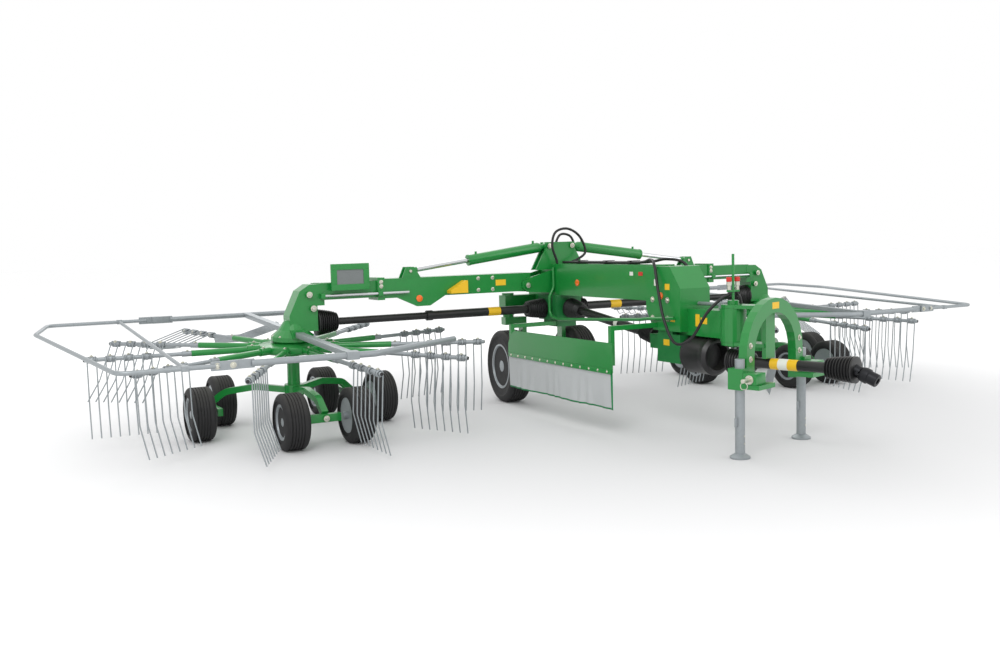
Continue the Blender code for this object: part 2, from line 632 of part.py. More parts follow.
def guards():
    for name, s in sides():
        place = rotor_place(s)
        h = HOOP_Z
        end = FOLD_U - 0.13
        inner = {
            "front": [tube([(-s * 0.95, -0.98, h), (-s * 0.17, HOOP_FRONT - 0.02, h),
                            (s * end, HOOP_FRONT, h)],
                           HOOP_R, 8),
                      bar((0, -0.18 - TOUCH, h), (0, HOOP_FRONT - 0.01, h), 0.03, 0.02)],
            "rear": [tube([(-s * 0.55, HOOP_REAR, h), (s * end, HOOP_REAR, h)], HOOP_R, 8),
                     bar((0, 0.18 + TOUCH, h), (0, HOOP_REAR, h), 0.03, 0.02)],
        }
        outer = []
        rail = {}
        for key, y in (("front", HOOP_FRONT), ("rear", HOOP_REAR)):
            low, high = sorted((s * (end - 0.02), s * (FOLD_U + 0.03)))
            inner[key].append(block((low, y - PLATE_T / 2, h - 0.03), (high, y + PLATE_T / 2, h + 0.03)))
            t = -1 if y < 0 else 1
            near, far = sorted((y + t * (PLATE_T / 2 + RUN), y + t * (1.5 * PLATE_T + RUN)))
            low, high = sorted((s * (FOLD_U - 0.03), s * (FOLD_U + 0.14)))
            outer.append(block((low, near, h - 0.03), (high, far, h + 0.03)))
            rail[key] = (near + far) / 2
        points = [(s * (FOLD_U + 0.08), rail["front"], h), (s * 1.5, rail["front"], h), (s * 1.80, 0.84, h),
                  (s * 1.67, rail["rear"], h), (s * (FOLD_U + 0.08), rail["rear"], h)]
        outer.append(tube(points, RAIL_R, 8))
        outer.append(rod((s * 1.1, rail["front"], h), (s * 1.1, rail["rear"], h), 0.013, 8))
        fold = place @ Vector((s * FOLD_U, 0, h))
        for key in inner:
            node("guard_%s_%s" % (key, name), [moved(p, place) for p in inner[key]], "galvanised", fold)
        node("guard_fold_" + name, [moved(p, place) for p in outer], "galvanised", fold)


# ---- headstock ---------------------------------------------------------------------------------
ARCH_STEPS = 14


def headstock_place():
    return Matrix.Translation((0, YAW_Y, 0)) @ Matrix.Rotation(REST_YAW, 4, "Z")


def headstock():
    place = headstock_place()
    front, back = -LEG_AHEAD - 0.03, -LEG_AHEAD + 0.03
    limb = LEG_SPREAD - 0.085
    low = 0.46
    half = 0.05
    outer, inner = limb + half, limb - half
    centre = ARCH_TOP - outer
    turn = [math.pi * k / ARCH_STEPS for k in range(ARCH_STEPS + 1)]
    arch = [(-inner, low), (-outer, low)]
    arch += [(-outer * math.cos(a), centre + outer * math.sin(a)) for a in turn]
    arch += [(outer, low), (inner, low)]
    arch += [(inner * math.cos(a), centre + inner * math.sin(a)) for a in turn]
    top_gap = DRAWBAR_TOP + 0.02 + RUN
    low_gap = DRAWBAR_BOTTOM - 0.02 - RUN
    web_low = PTO_Z + 0.0375 + RUN
    pieces = [
        prism(arch, "Y", front, back),
        block((-0.06, back - 0.02, web_low), (0.06, back + 0.01, ARCH_TOP - 0.02)),
        block((-0.07, back - 0.01, top_gap), (0.07, 0, top_gap + 0.025)),
        block((-0.07, back - 0.01, low_gap - 0.025), (0.07, 0, low_gap)),
        rod((0, 0, top_gap), (0, 0, top_gap + 0.025), 0.085, 20),
        rod((0, 0, low_gap - 0.025), (0, 0, low_gap), 0.085, 20),
    ]
    for t in (-1, 1):
        a, b = sorted((t * (limb + half - 0.01), t * (LEG_SPREAD + 0.05)))
        pieces.append(block((a, front - 0.02, 0.46), (b, back + 0.03, 0.60)))
        a, b = sorted((t * (limb - half - 0.02), t * (LEG_SPREAD + 0.05)))
        pieces.append(block((a, front - 0.14, 0.47), (b, front + 0.01, 0.50)))
    cuts = [rod((0, 0, 0.5), (0, 0, 1.3), YAW_PIN_R + PIN_PLAY, 20)]
    for t in (-1, 1):
        cuts.append(rod((t * LEG_SPREAD, -LEG_AHEAD, 0.3), (t * LEG_SPREAD, -LEG_AHEAD, 0.8),
                        LEG_R + RUN, 14))
    yaw = (0, YAW_Y, 0.85)
    node("headstock_arch", [moved(p, place) for p in pieces], "green_paint", yaw,
         [moved(p, place) for p in cuts])
    for name, t in sides():
        x = t * LEG_SPREAD
        leg = [rod((x, -LEG_AHEAD, 0.01), (x, -LEG_AHEAD, 0.66), LEG_R, 14),
               rod((x, -LEG_AHEAD, 0), (x, -LEG_AHEAD, 0.02), FOOT_R, 18),
               block((x - 0.06, -LEG_AHEAD - 0.008, 0.22), (x + 0.01, -LEG_AHEAD + 0.008, 0.27))]
        spot = place @ Vector((x, -LEG_AHEAD, 0))
        node("parking_leg_" + name, [moved(p, place) for p in leg], "galvanised", spot)
    z = PTO_Z
    shaft = [turned([(0, 0.07), (0.02, 0.09), (0.16, 0.09), (0.20, 0.0375), (0.72, 0.0375), (0.76, 0.09),
                     (0.92, 0.09), (0.94, 0.06)], (0, 0.03, z), (0, -1, 0), 14),
             bar((0, -0.89, z), (0, -1.06, z - 0.07), 0.045, 0.04)]
    node("pto_shaft", [moved(p, place) for p in shaft], "black_plastic", yaw)


# ---- hoses -------------------------------------------------------------------------------------
HOSE_ROUTES = {
    "hose_supply_a": [(-0.038, YAW_Y, 1.0704), (-0.038, YAW_Y, 1.055), (-0.085, YAW_Y + 0.025, 1.03),
                      (-0.16, -2.27, 0.93), (-0.20, -2.14, 0.74), (-0.225, -1.99, 0.70),
                      (-0.205, -1.84, 0.86), (-0.18, -1.74, 1.08), (-0.15, -1.66, 1.26),
                      (-0.08, -1.52, 1.30), (-0.035, -1.3, 1.276), (-0.025, -0.60, 1.274),
                      (-0.05, -0.22, 1.274)],
    "hose_supply_b": [(0.038, YAW_Y, 1.0704), (0.038, YAW_Y, 1.055), (0.085, YAW_Y + 0.025, 1.03),
                      (0.16, -2.26, 0.93), (0.20, -2.13, 0.78), (0.225, -1.99, 0.74),
                      (0.205, -1.84, 0.88), (0.18, -1.74, 1.08), (0.15, -1.66, 1.26),
                      (0.08, -1.52, 1.30), (0.035, -1.3, 1.276), (0.025, -0.60, 1.274),
                      (0.05, -0.22, 1.274)],
    "hose_lift_right": [(-0.08, -0.16, 1.2653), (-0.08, -0.16, 1.29), (-0.13, -0.17, 1.42),
                        (-0.10, -0.18, 1.54), (0.02, -0.19, 1.57), (0.14, -0.20, 1.50),
                        (0.20, -0.20, 1.36), (0.11, -0.19, 1.29), (0.085, -0.18, 1.282),
                        (0.07, -0.18, 1.274), (0.07, -0.18, 1.2647)],
    "hose_lift_left": [(0.03, 0.06, 1.2608), (0.03, 0.06, 1.29), (0.04, 0.06, 1.41), (0.10, 0.06, 1.52),
                       (0.22, 0.07, 1.50), (0.26, 0.075, 1.38), (0.17, 0.07, 1.30), (0.11, 0.06, 1.285),
                       (0.085, 0.06, 1.275), (0.085, 0.06, 1.2628)],
}


def smooth_route(points, step):
    """Points along a rounded curve through the route, about one step apart."""
    points = [Vector(p) for p in points]
    ends = [points[0] * 2 - points[1], *points, points[-1] * 2 - points[-2]]
    made = []
    for a, b, c, d in zip(ends, ends[1:], ends[2:], ends[3:]):
        count = max(2, round((c - b).length / step))
        for k in range(count):
            t = k / count
            made.append(0.5 * ((2 * b) + (c - a) * t + (2 * a - 5 * b + 4 * c - d) * t * t
                               + (3 * b - a - 3 * c + d) * t ** 3))
    made.append(points[-1])
    return made


def hoses():
    for name, route in HOSE_ROUTES.items():
        points = smooth_route(route, HOSE_R * 6)
        curve = bpy.data.curves.new(name, "CURVE")
        curve.dimensions = "3D"
        curve.bevel_depth = HOSE_R
        curve.bevel_resolution = 2
        curve.use_fill_caps = True
        spline = curve.splines.new("POLY")
        spline.points.add(len(points) - 1)
        for target, point in zip(spline.points, points):
            target.co = (*point, 1)
        curve.materials.append(material("hose_rubber"))
        made = bpy.data.objects.new(name, curve)
        made.location = (0, LINE_Y, 0)
        bpy.context.scene.collection.objects.link(made)


for item in list(bpy.data.objects):
    bpy.data.objects.remove(item)

main_frame()
drive_line()
frame_trim()
curtain()
rear_steering()
booms()
lift_cylinders()
rotors()
rotor_heads()
undercarriages()
guards()
headstock()
hoses()
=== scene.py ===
# %% [markdown]
# # Twin rotor hay rake: the looks
# A hay rake gathers cut grass into one row, the swath. Two rotors sweep it inwards with their tines, and a curtain
# between them forms the edge of the row.
#
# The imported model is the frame: plain CAD solids in metres, with the ground at z = 0. The machine drives towards -Y
# and its left is +X. Such a model can be finished by painting and softening its solids, or by building a finer mesh
# in place of one. The large welded and cast pieces are kept and painted, because their shape is right already.
# Tyres, tines, bellows, hoops, hoses and the curtain are built anew, because their looks come from fine detail.

# %%
import json
import math

import bmesh
import bpy
from mathutils import Matrix, Vector


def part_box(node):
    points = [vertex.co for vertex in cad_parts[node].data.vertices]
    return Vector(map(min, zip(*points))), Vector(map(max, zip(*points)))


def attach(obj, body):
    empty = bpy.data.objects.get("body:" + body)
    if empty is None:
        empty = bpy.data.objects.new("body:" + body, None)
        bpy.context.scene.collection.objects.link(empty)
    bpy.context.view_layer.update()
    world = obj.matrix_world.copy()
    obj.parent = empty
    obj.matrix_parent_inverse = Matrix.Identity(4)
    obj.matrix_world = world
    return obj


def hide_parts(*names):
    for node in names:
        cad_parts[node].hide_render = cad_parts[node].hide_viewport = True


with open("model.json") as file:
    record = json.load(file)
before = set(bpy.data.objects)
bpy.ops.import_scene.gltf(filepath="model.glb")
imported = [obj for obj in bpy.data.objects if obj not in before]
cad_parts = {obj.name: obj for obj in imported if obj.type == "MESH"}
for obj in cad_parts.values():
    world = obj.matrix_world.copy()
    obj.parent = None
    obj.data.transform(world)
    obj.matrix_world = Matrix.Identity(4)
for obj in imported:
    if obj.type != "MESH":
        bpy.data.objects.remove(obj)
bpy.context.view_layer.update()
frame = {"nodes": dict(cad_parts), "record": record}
nodes = frame["nodes"]
SIDES = (("left", 1), ("right", -1))

print("frame loaded with", len(nodes), "nodes")

# %% [markdown]
# ## Places
# A finished piece has to sit exactly where its CAD solid sits. The places could be typed in again, but a typed
# number goes stale when the model changes, so joint axes and node boxes are read from the frame. Sizes that no
# joint or box gives are repeated, each where it is first needed.

# %%
JOINTS = {joint["name"]: joint for joint in frame["record"]["behaviour"]["joints"]}


def joint_place(name):
    return Vector(JOINTS[name]["pos_m"])


LINE_Y = joint_place("rotor_spin_left").y  # the line across the machine through both rotor axes
ROTOR_X = joint_place("rotor_spin_left").x
ROTOR_Z = joint_place("rotor_spin_left").z
ROTOR_TILT = math.radians(2.75)            # a rotor leans forwards, so that its tines comb lowest in front
YAW = joint_place("headstock_yaw")
REST_YAW = math.radians(16.7)              # the headstock stands turned to one side
print("rotor axes at x = +-%.3f m, y = %.3f m" % (ROTOR_X, LINE_Y))

# %% [markdown]
# ## Nodes
# A material is a tree of nodes. To add a node takes several lines: make it, set it, link it. One small function
# does all three, where an input that is given another node's socket is linked, and any other input is set.

# %%
def fill(tree, made, inputs):
    for name, value in inputs.items():
        if isinstance(value, bpy.types.NodeSocket):
            tree.links.new(value, made.inputs[name])
        else:
            made.inputs[name].default_value = value
    return made


def node(tree, kind, inputs, **settings):
    made = tree.nodes.new(kind)
    for name, value in settings.items():
        setattr(made, name, value)
    return fill(tree, made, inputs)


def linear(hex_colour):
    """sRGB hex to linear RGBA."""
    values = [int(hex_colour[i:i + 2], 16) / 255 for i in (1, 3, 5)]
    return (*[v / 12.92 if v <= 0.04045 else ((v + 0.055) / 1.055) ** 2.4 for v in values], 1.0)

# %% [markdown]
# ## One function for every finish
# Paint, zinc, rubber and cloth differ in what the eye reads first: colour, roughness, and whether they are metal.
# Each could have its own tree, but the same touches suit them all. The colour and roughness drift a little over the
# surface, a fine grain bends the light, and dust lies on faces that look up. The patterns read Object coordinates, so
# they stay on a piece when it moves, and their sizes are given in millimetres. An even colour is set on the shader
# itself.

# %%
DUST = "#b9b5a6"


def finish(name, colour, roughness, metallic=0.0, mottle=0.0, mottle_mm=60.0, bump_mm=0.0, bump_depth=0.0,
           dust=0.0, coat=0.0):
    """A Principled finish with a mottled colour and roughness, a fine bump, and dust on upward faces."""
    made = bpy.data.materials.new(name)
    made.use_nodes = True
    tree = made.node_tree
    place = node(tree, "ShaderNodeTexCoord", {}).outputs["Object"]
    noise = node(tree, "ShaderNodeTexNoise", {"Vector": place, "Scale": 1000.0 / mottle_mm, "Detail": 4.0})
    noise = noise.outputs["Fac"]
    base = linear(colour)
    if mottle:
        ramp = node(tree, "ShaderNodeMapRange", {"Value": noise, "To Min": 1.0 - mottle, "To Max": 1.0 + mottle})
        base = node(tree, "ShaderNodeVectorMath", {0: base[:3], "Scale": ramp.outputs["Result"]},
                    operation="SCALE").outputs["Vector"]
    if dust:
        where = node(tree, "ShaderNodeNewGeometry", {}).outputs["Normal"]
        split = node(tree, "ShaderNodeSeparateXYZ", {"Vector": where})
        level = node(tree, "ShaderNodeMapRange", {"Value": split.outputs["Z"], "From Min": 0.3, "To Max": dust})
        base = node(tree, "ShaderNodeMix", {"Factor": level.outputs["Result"], "A": base, "B": linear(DUST)},
                    data_type="RGBA").outputs["Result"]
    rough = node(tree, "ShaderNodeMapRange",
                 {"Value": noise, "To Min": roughness * 0.85, "To Max": min(roughness * 1.2, 1.0)})
    shader = fill(tree, tree.nodes["Principled BSDF"],
                  {"Base Color": base, "Metallic": metallic, "Roughness": rough.outputs["Result"],
                   "Coat Weight": coat, "Coat Roughness": 0.12})
    if bump_mm:
        grain = node(tree, "ShaderNodeTexNoise", {"Vector": place, "Scale": 1000.0 / bump_mm, "Detail": 2.0})
        bump = node(tree, "ShaderNodeBump", {"Height": grain.outputs["Fac"], "Strength": 0.6, "Distance": bump_depth})
        fill(tree, shader, {"Normal": bump.outputs["Normal"]})
    return made

# %% [markdown]
# ## Painted and plated steel
# The welded frame and booms wear sprayed gloss enamel, and the gearboxes the same paint on rough castings. Tine
# arms, tines and hoops are hot dip galvanised, bolts are zinc plated, and cylinder rods are chromed. Pictures of
# bare metal could be wrapped round them, but plain values with a little drift look right at this distance and stay
# small.

# %%
# Sprayed enamel: a smooth film with a clear shine. Its fine orange peel is drawn at 9 mm, so that it shows.
PAINT = finish("green_gloss_paint", "#0f7d31", 0.32, mottle=0.06, bump_mm=9, bump_depth=0.0002, dust=0.03, coat=0.3)
# The same enamel on sand castings: darker and duller, over a grain of 3 mm.
CAST = finish("green_cast_housing", "#187036", 0.42, mottle=0.08, bump_mm=3.0, bump_depth=0.0004, dust=0.05)
# Hot dip zinc that has weathered: a matt grey, half metal to the eye, with spangles 18 mm across.
GALV = finish("galvanised_steel", "#979da0", 0.42, metallic=0.55, mottle=0.10, mottle_mm=18, bump_mm=4,
              bump_depth=0.0002)
# Thin zinc from a bath: bright and slightly yellow, so that a bolt head glints on the paint.
ZINC = finish("zinc_plated_steel", "#c9c8bb", 0.30, metallic=0.9, mottle=0.05)
# Hard chrome, ground and polished: a mirror of one even colour.
CHROME = finish("hard_chrome", "#d5d7d9", 0.10, metallic=1.0)
# Forged steel with its black scale and a little oil.
FORGED = finish("dark_forged_yoke", "#26272a", 0.4, metallic=0.7, mottle=0.1)

# %% [markdown]
# ## Rubber, plastic and cloth
# These are not metals: their colour comes from inside, and their shine stays white. Roughness tells them apart,
# from the half gloss of moulded guards to the dull tread of a tyre. The curtain is woven cloth with a plastic coat,
# whose threads could be modelled one by one, but at this size a fine bump says the same.

# %%
# Moulded plastic guards: half gloss, with the mould's own grain.
BLACK = finish("black_guard_plastic", "#161617", 0.38, mottle=0.08, bump_mm=3, bump_depth=0.0002, dust=0.03)
# Vulcanised tread: nearly black, dull, and dusty on top.
RUBBER = finish("tyre_rubber", "#1d1d1e", 0.72, mottle=0.10, bump_mm=5, bump_depth=0.0005, dust=0.05)
# Extruded hose cover: smoother than a tyre.
HOSE = finish("hose_rubber", "#121213", 0.50, mottle=0.05)
# Coated woven cloth: its threads, about 1 mm apart, are drawn at 1.6 mm, so that they show.
FABRIC = finish("coated_grey_fabric", "#b4b7b8", 0.75, mottle=0.05, mottle_mm=120, bump_mm=1.6, bump_depth=0.0006)
# The cloth's sewn edge: a green band, drawn with a closer weave.
HEM = finish("green_woven_hem", "#177a45", 0.70, mottle=0.06, bump_mm=1.2, bump_depth=0.0004)
# Dyed plastic for shaft bands, wheel chocks and warning plates.
YELLOW = finish("yellow_plastic", "#e3b51a", 0.45, mottle=0.05)
# A reflector's smooth clear face over orange.
ORANGE = finish("orange_reflector", "#e86a12", 0.25, mottle=0.04, coat=0.5)
# Soft moulded caps on the hose couplings.
RED = finish("red_cap", "#c2271d", 0.40, mottle=0.05)
# The blank face of the warning board, and the blank pale plates.
BOARD = finish("grey_sign_board", "#6f7474", 0.55, mottle=0.05)
PALE = finish("pale_label", "#d9dbd2", 0.45)
print("finishes:", ", ".join(sorted(look.name for look in bpy.data.materials)))

# %% [markdown]
# ## From a mesh to a finished piece
# Every piece ends the same way: it takes one finish, its faces are shaded smooth except across sharp edges, it is
# put at the origin with its place in its mesh, and it is told which body it rides on, so that it moves with its
# joint.

# %%
def piece(name, mesh, look, body, smooth=35.0):
    """A finished piece at the origin, riding on its body."""
    mesh.materials.clear()
    mesh.materials.append(look)
    if smooth:
        mesh.shade_smooth()
        mesh.set_sharp_from_angle(angle=math.radians(smooth))
    made = bpy.data.objects.new(name, mesh)
    bpy.context.scene.collection.objects.link(made)
    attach(made, body)
    return made


def solid(bm, matrix=None):
    """Close a bmesh into a mesh with its faces pointing outwards."""
    bmesh.ops.recalc_face_normals(bm, faces=bm.faces)
    mesh = bpy.data.meshes.new("piece")
    bm.to_mesh(mesh)
    bm.free()
    if matrix:
        mesh.transform(matrix)
    return mesh


def merged(meshes):
    bm = bmesh.new()
    for mesh in meshes:
        bm.from_mesh(mesh)
    result = bpy.data.meshes.new("piece")
    bm.to_mesh(result)
    bm.free()
    return result

# %% [markdown]
# ### Turned pieces
# Tyres, bars, pins and bellows are round about a line, as if turned on a lathe. Blender has a Spin tool and a Screw
# modifier, but rings of points joined into a skin are as short to write, and close at both ends.

# %%
def frame_along(direction):
    """Two directions square to a line and to each other."""
    direction = Vector(direction).normalized()
    helper = Vector((0, 0, 1)) if abs(direction.z) < 0.9 else Vector((1, 0, 0))
    side = direction.cross(helper).normalized()
    return side, side.cross(direction).normalized()


def skin(rings):
    """A closed mesh over rings of equal count, with a face at each end."""
    bm = bmesh.new()
    rows = [[bm.verts.new(p) for p in ring] for ring in rings]
    count = len(rows[0])
    for one, two in zip(rows, rows[1:]):
        for i in range(count):
            j = (i + 1) % count
            bm.faces.new((one[i], one[j], two[j], two[i]))
    bm.faces.new(rows[0])
    bm.faces.new(rows[-1])
    return solid(bm)


def turned(profile, start, direction, sides=32):
    """Turn (distance, radius) pairs about a line."""
    start = Vector(start)
    along = Vector(direction).normalized()
    side, up = frame_along(along)
    rings = []
    for distance, radius in profile:
        centre = start + along * distance
        angles = [2 * math.pi * i / sides for i in range(sides)]
        rings.append([centre + (side * math.cos(a) + up * math.sin(a)) * max(radius, 0.0002) for a in angles])
    return skin(rings)


def pin(a, b, radius, sides=24, edge=0.0015):
    """A round bar with softened ends."""
    a, b = Vector(a), Vector(b)
    length = (b - a).length
    edge = min(edge, radius * 0.4, length * 0.3)
    profile = [(0, radius - edge), (edge, radius), (length - edge, radius), (length, radius - edge)]
    return turned(profile, a, b - a, sides)

# %% [markdown]
# ### Bent bars and hoses
# A bent tube is a circle carried along a route. A curve with a bevel would do it, but it has to be made a mesh
# before the export, and its twist is hard to steer. Here the ring is carried from point to point without twist, and
# each corner of the route is first turned into an arc, as a tube bender would.

# %%
def rounded_route(points, radius, steps=6):
    """A route with each corner turned through an arc of about that radius."""
    points = [Vector(p) for p in points]
    made = [points[0]]
    for before, corner, after in zip(points, points[1:], points[2:]):
        one, two = (before - corner).normalized(), (after - corner).normalized()
        angle = one.angle(two)
        if angle > math.pi - 0.02:
            made.append(corner)
            continue
        reach = min(radius / math.tan(angle / 2), (before - corner).length * 0.45, (after - corner).length * 0.45)
        start, end = corner + one * reach, corner + two * reach
        for k in range(steps + 1):
            t = k / steps
            made.append(start.lerp(corner, t).lerp(corner.lerp(end, t), t))
    made.append(points[-1])
    return made


def sweep(points, radius, sides=16, phase=0.0):
    """A round bar along a route, carried without twist; four sides at a phase of 45 degrees make a box section."""
    points = [Vector(p) for p in points]
    tangents = []
    for i, point in enumerate(points):
        before = points[max(i - 1, 0)]
        after = points[min(i + 1, len(points) - 1)]
        tangents.append((after - before).normalized())
    side, _ = frame_along(tangents[0])
    rings = []
    for i, (point, tangent) in enumerate(zip(points, tangents)):
        if i:
            side = tangents[i - 1].rotation_difference(tangent) @ side
        side = (side - tangent * side.dot(tangent)).normalized()
        up = side.cross(tangent)
        angles = [phase + 2 * math.pi * k / sides for k in range(sides)]
        rings.append([point + (side * math.cos(a) + up * math.sin(a)) * radius for a in angles])
    return skin(rings)


def pipe(points, radius, bend, sides=16, phase=0.0):
    return sweep(rounded_route(points, bend), radius, sides, phase)

# %% [markdown]
# ### Plates and blocks
# Cut plate and bar are boxes with slightly broken edges. A bevel on every edge catches a thin line of light, which
# is most of what makes steel look real.

# %%
def block(low, high, edge=0.003, matrix=None):
    """A box with softened edges."""
    bm = bmesh.new()
    bmesh.ops.create_cube(bm, size=1.0)
    for vert in bm.verts:
        vert.co = Vector(low[i] if vert.co[i] < 0 else high[i] for i in range(3))
    if edge:
        edge = min(edge, 0.3 * min(high[i] - low[i] for i in range(3)))
        bmesh.ops.bevel(bm, geom=list(bm.edges), offset=edge, segments=2, profile=0.7, affect="EDGES")
    return solid(bm, matrix)


def span(s, a, b):
    """The lower and upper X of a stretch on one side of the machine."""
    return sorted((s * a, s * b))


def put(mesh, matrix):
    mesh.transform(matrix)
    return mesh

# %% [markdown]
# ## Repeats by Geometry Nodes
# The rake has 88 double tines and over two hundred bolts. Each could be copied in a loop, but a node tree says what
# repeats and where in one place: it puts a prototype on points, turns each by a stored attribute, makes the copies
# real mesh and sets their material. Nothing in it is random, so it needs no seed.

# %%
def repeat_tree():
    tree = bpy.data.node_groups.new("repeat_on_points", "GeometryNodeTree")
    tree.interface.new_socket("Geometry", in_out="INPUT", socket_type="NodeSocketGeometry")
    tree.interface.new_socket("Prototype", in_out="INPUT", socket_type="NodeSocketObject")
    tree.interface.new_socket("Finish", in_out="INPUT", socket_type="NodeSocketMaterial")
    tree.interface.new_socket("Geometry", in_out="OUTPUT", socket_type="NodeSocketGeometry")
    start = node(tree, "NodeGroupInput", {}).outputs
    points = node(tree, "GeometryNodeMeshToPoints", {"Mesh": start["Geometry"]})
    info = node(tree, "GeometryNodeObjectInfo", {"Object": start["Prototype"]})
    turn = node(tree, "GeometryNodeInputNamedAttribute", {"Name": "turn"}, data_type="FLOAT_VECTOR")
    place = node(tree, "GeometryNodeInstanceOnPoints",
                 {"Points": points.outputs["Points"], "Instance": info.outputs["Geometry"],
                  "Rotation": turn.outputs["Attribute"]})
    real = node(tree, "GeometryNodeRealizeInstances", {"Geometry": place.outputs["Instances"]})
    look = node(tree, "GeometryNodeSetMaterial", {"Geometry": real.outputs["Geometry"], "Material": start["Finish"]})
    node(tree, "NodeGroupOutput", {"Geometry": look.outputs["Geometry"]})
    return tree


REPEAT = repeat_tree()


def repeated(name, prototype, matrices, look, body, smooth=40.0):
    """Copies of a prototype mesh at each matrix, as one mesh piece."""
    prototype.shade_smooth()
    prototype.set_sharp_from_angle(angle=math.radians(smooth))
    source = bpy.data.objects.new(name + "_prototype", prototype)
    bpy.context.scene.collection.objects.link(source)
    cloud = bpy.data.meshes.new(name + "_points")
    cloud.from_pydata([m.translation for m in matrices], [], [])
    turn = cloud.attributes.new("turn", "FLOAT_VECTOR", "POINT")
    for value, matrix in zip(turn.data, matrices):
        value.vector = matrix.to_euler()
    holder = bpy.data.objects.new(name + "_holder", cloud)
    bpy.context.scene.collection.objects.link(holder)
    step = holder.modifiers.new("repeat", "NODES")
    step.node_group = REPEAT
    for item in REPEAT.interface.items_tree:
        if item.in_out == "INPUT" and item.name == "Prototype":
            step[item.identifier] = source
        if item.in_out == "INPUT" and item.name == "Finish":
            step[item.identifier] = look
    graph = bpy.context.evaluated_depsgraph_get()
    mesh = bpy.data.meshes.new_from_object(holder.evaluated_get(graph))
    bpy.data.objects.remove(holder)
    bpy.data.objects.remove(source)
    return piece(name, mesh, look, body, smooth=0)

# %% [markdown]
# ### Bolt heads
# A bolt on a machine is a hexagon on a washer. It is repeated hundreds of times, so it has only a few dozen faces,
# and its seat is at z = 0, so that a matrix at the surface places it.

# %%
def bolt(across=0.019, height=0.010):
    """A hexagon bolt head with a washer, its seat at z = 0."""
    washer = turned([(0, across * 0.95), (0.0015, across * 0.95), (0.002, across * 0.9)], (0, 0, 0), (0, 0, 1), 20)
    head = turned([(0.002, across * 0.577), (height * 0.85, across * 0.577), (height, across * 0.48)],
                  (0, 0, 0), (0, 0, 1), 6)
    return merged([washer, head])


def facing(position, normal):
    """A matrix at a position with its Z along the normal."""
    turn = Vector((0, 0, 1)).rotation_difference(Vector(normal).normalized())
    return Matrix.Translation(position) @ turn.to_matrix().to_4x4()

# %% [markdown]
# ## Camera
# The camera stands ahead of the machine on its right, at chest height, and looks back across it. A longer lens from
# further away would flatten the machine, and a wider one would swell the near rotor; this one keeps both rotors in
# view with the near one clearly larger.

# %%
CAMERA_AT = Vector((-4.77, -7.67 + LINE_Y, 1.46))
CAMERA_AZIMUTH = math.radians(-28.6)
CAMERA_DOWN = math.radians(5.24)
CAMERA_ROLL = math.radians(-1.5)
LENS_MM = 35.6


def set_camera():
    data = bpy.data.cameras.new("camera")
    data.lens = LENS_MM
    data.sensor_width = 36.0
    camera = bpy.data.objects.new("camera", data)
    turn = (Matrix.Rotation(CAMERA_AZIMUTH, 4, "Z") @ Matrix.Rotation(math.pi / 2 - CAMERA_DOWN, 4, "X")
            @ Matrix.Rotation(CAMERA_ROLL, 4, "Z"))
    camera.matrix_world = Matrix.Translation(CAMERA_AT) @ turn
    bpy.context.scene.collection.objects.link(camera)
    bpy.context.scene.camera = camera


set_camera()
print("camera %.1f m from the rotor line" % abs(CAMERA_AT.y - LINE_Y))

# %% [markdown]
# ## Light and floor
# Soft studio light has no hard shadow: a large disc lamp from one side models the shapes, a weaker one opens the dark
# side, and one behind draws the edges. The floor is one large plane. Its colour holds a painted shadow: it is pale grey
# round the middle, under the machine, and fades to white further out, so that no horizon shows.

# %%
def lamp(name, place, target, size, power):
    data = bpy.data.lights.new(name, "AREA")
    data.shape = "DISK"
    data.size = size
    data.energy = power
    made = bpy.data.objects.new(name, data)
    made.location = place
    made.rotation_euler = (Vector(target) - Vector(place)).to_track_quat("-Z", "Y").to_euler()
    bpy.context.scene.collection.objects.link(made)


# Painted shadow: the floor stays grey out to this distance from the middle, then fades to white.
FLOOR_PAINTED_SHADOW_TO = 1.5
FLOOR_WHITE_FROM = 7.5
WHITE = (1.0, 1.0, 1.0, 1.0)


def floor_finish():
    ground = bpy.data.materials.new("studio_floor_painted_shadow")
    ground.use_nodes = True
    tree = ground.node_tree
    place = node(tree, "ShaderNodeTexCoord", {}).outputs["Object"]
    distance = node(tree, "ShaderNodeVectorMath", {0: place}, operation="LENGTH").outputs["Value"]
    fade = node(tree, "ShaderNodeMapRange",
                {"Value": distance, "From Min": FLOOR_PAINTED_SHADOW_TO, "From Max": FLOOR_WHITE_FROM},
                interpolation_type="SMOOTHSTEP").outputs["Result"]
    # The grey near the middle is a painted shadow under the machine; the white further out matches the backdrop.
    painted_shadow = node(tree, "ShaderNodeMix", {"Factor": fade, "A": linear("#cfcfd0"), "B": WHITE}, data_type="RGBA")
    fill(tree, tree.nodes["Principled BSDF"], {"Base Color": painted_shadow.outputs["Result"], "Roughness": 0.9})
    return ground


def set_stage():
    floor = bpy.data.meshes.new("floor")
    floor.from_pydata([(-70, -60, 0), (70, -60, 0), (70, 90, 0), (-70, 90, 0)], [], [(0, 1, 2, 3)])
    floor.materials.append(floor_finish())
    made = bpy.data.objects.new("floor", floor)
    bpy.context.scene.collection.objects.link(made)
    world = bpy.data.worlds.new("studio")
    world.use_nodes = True
    fill(world.node_tree, world.node_tree.nodes["Background"], {"Color": WHITE, "Strength": 1.0})
    bpy.context.scene.world = world
    lamp("key", (-6.5, -6.5, 8.0), (0, 0.3, 0.6), 6.0, 430)
    lamp("fill", (7.0, -7.0, 5.0), (0, 0.3, 0.6), 6.0, 120)
    lamp("back", (1.0, 9.0, 7.0), (0, 0.3, 0.8), 7.0, 220)
    bpy.context.scene.view_settings.view_transform = "Standard"


set_stage()
print("lamps:", len(bpy.data.lights))

# %% [markdown]
# ## Hoses
# Oil reaches the lift cylinders through rubber hoses: two run from the couplings at the headstock along the beam,
# and two arch over the mast. A hose could be simulated, but one that is clipped down at both ends keeps its shape,
# so each follows the same points as its CAD tube, joined by a smooth curve.

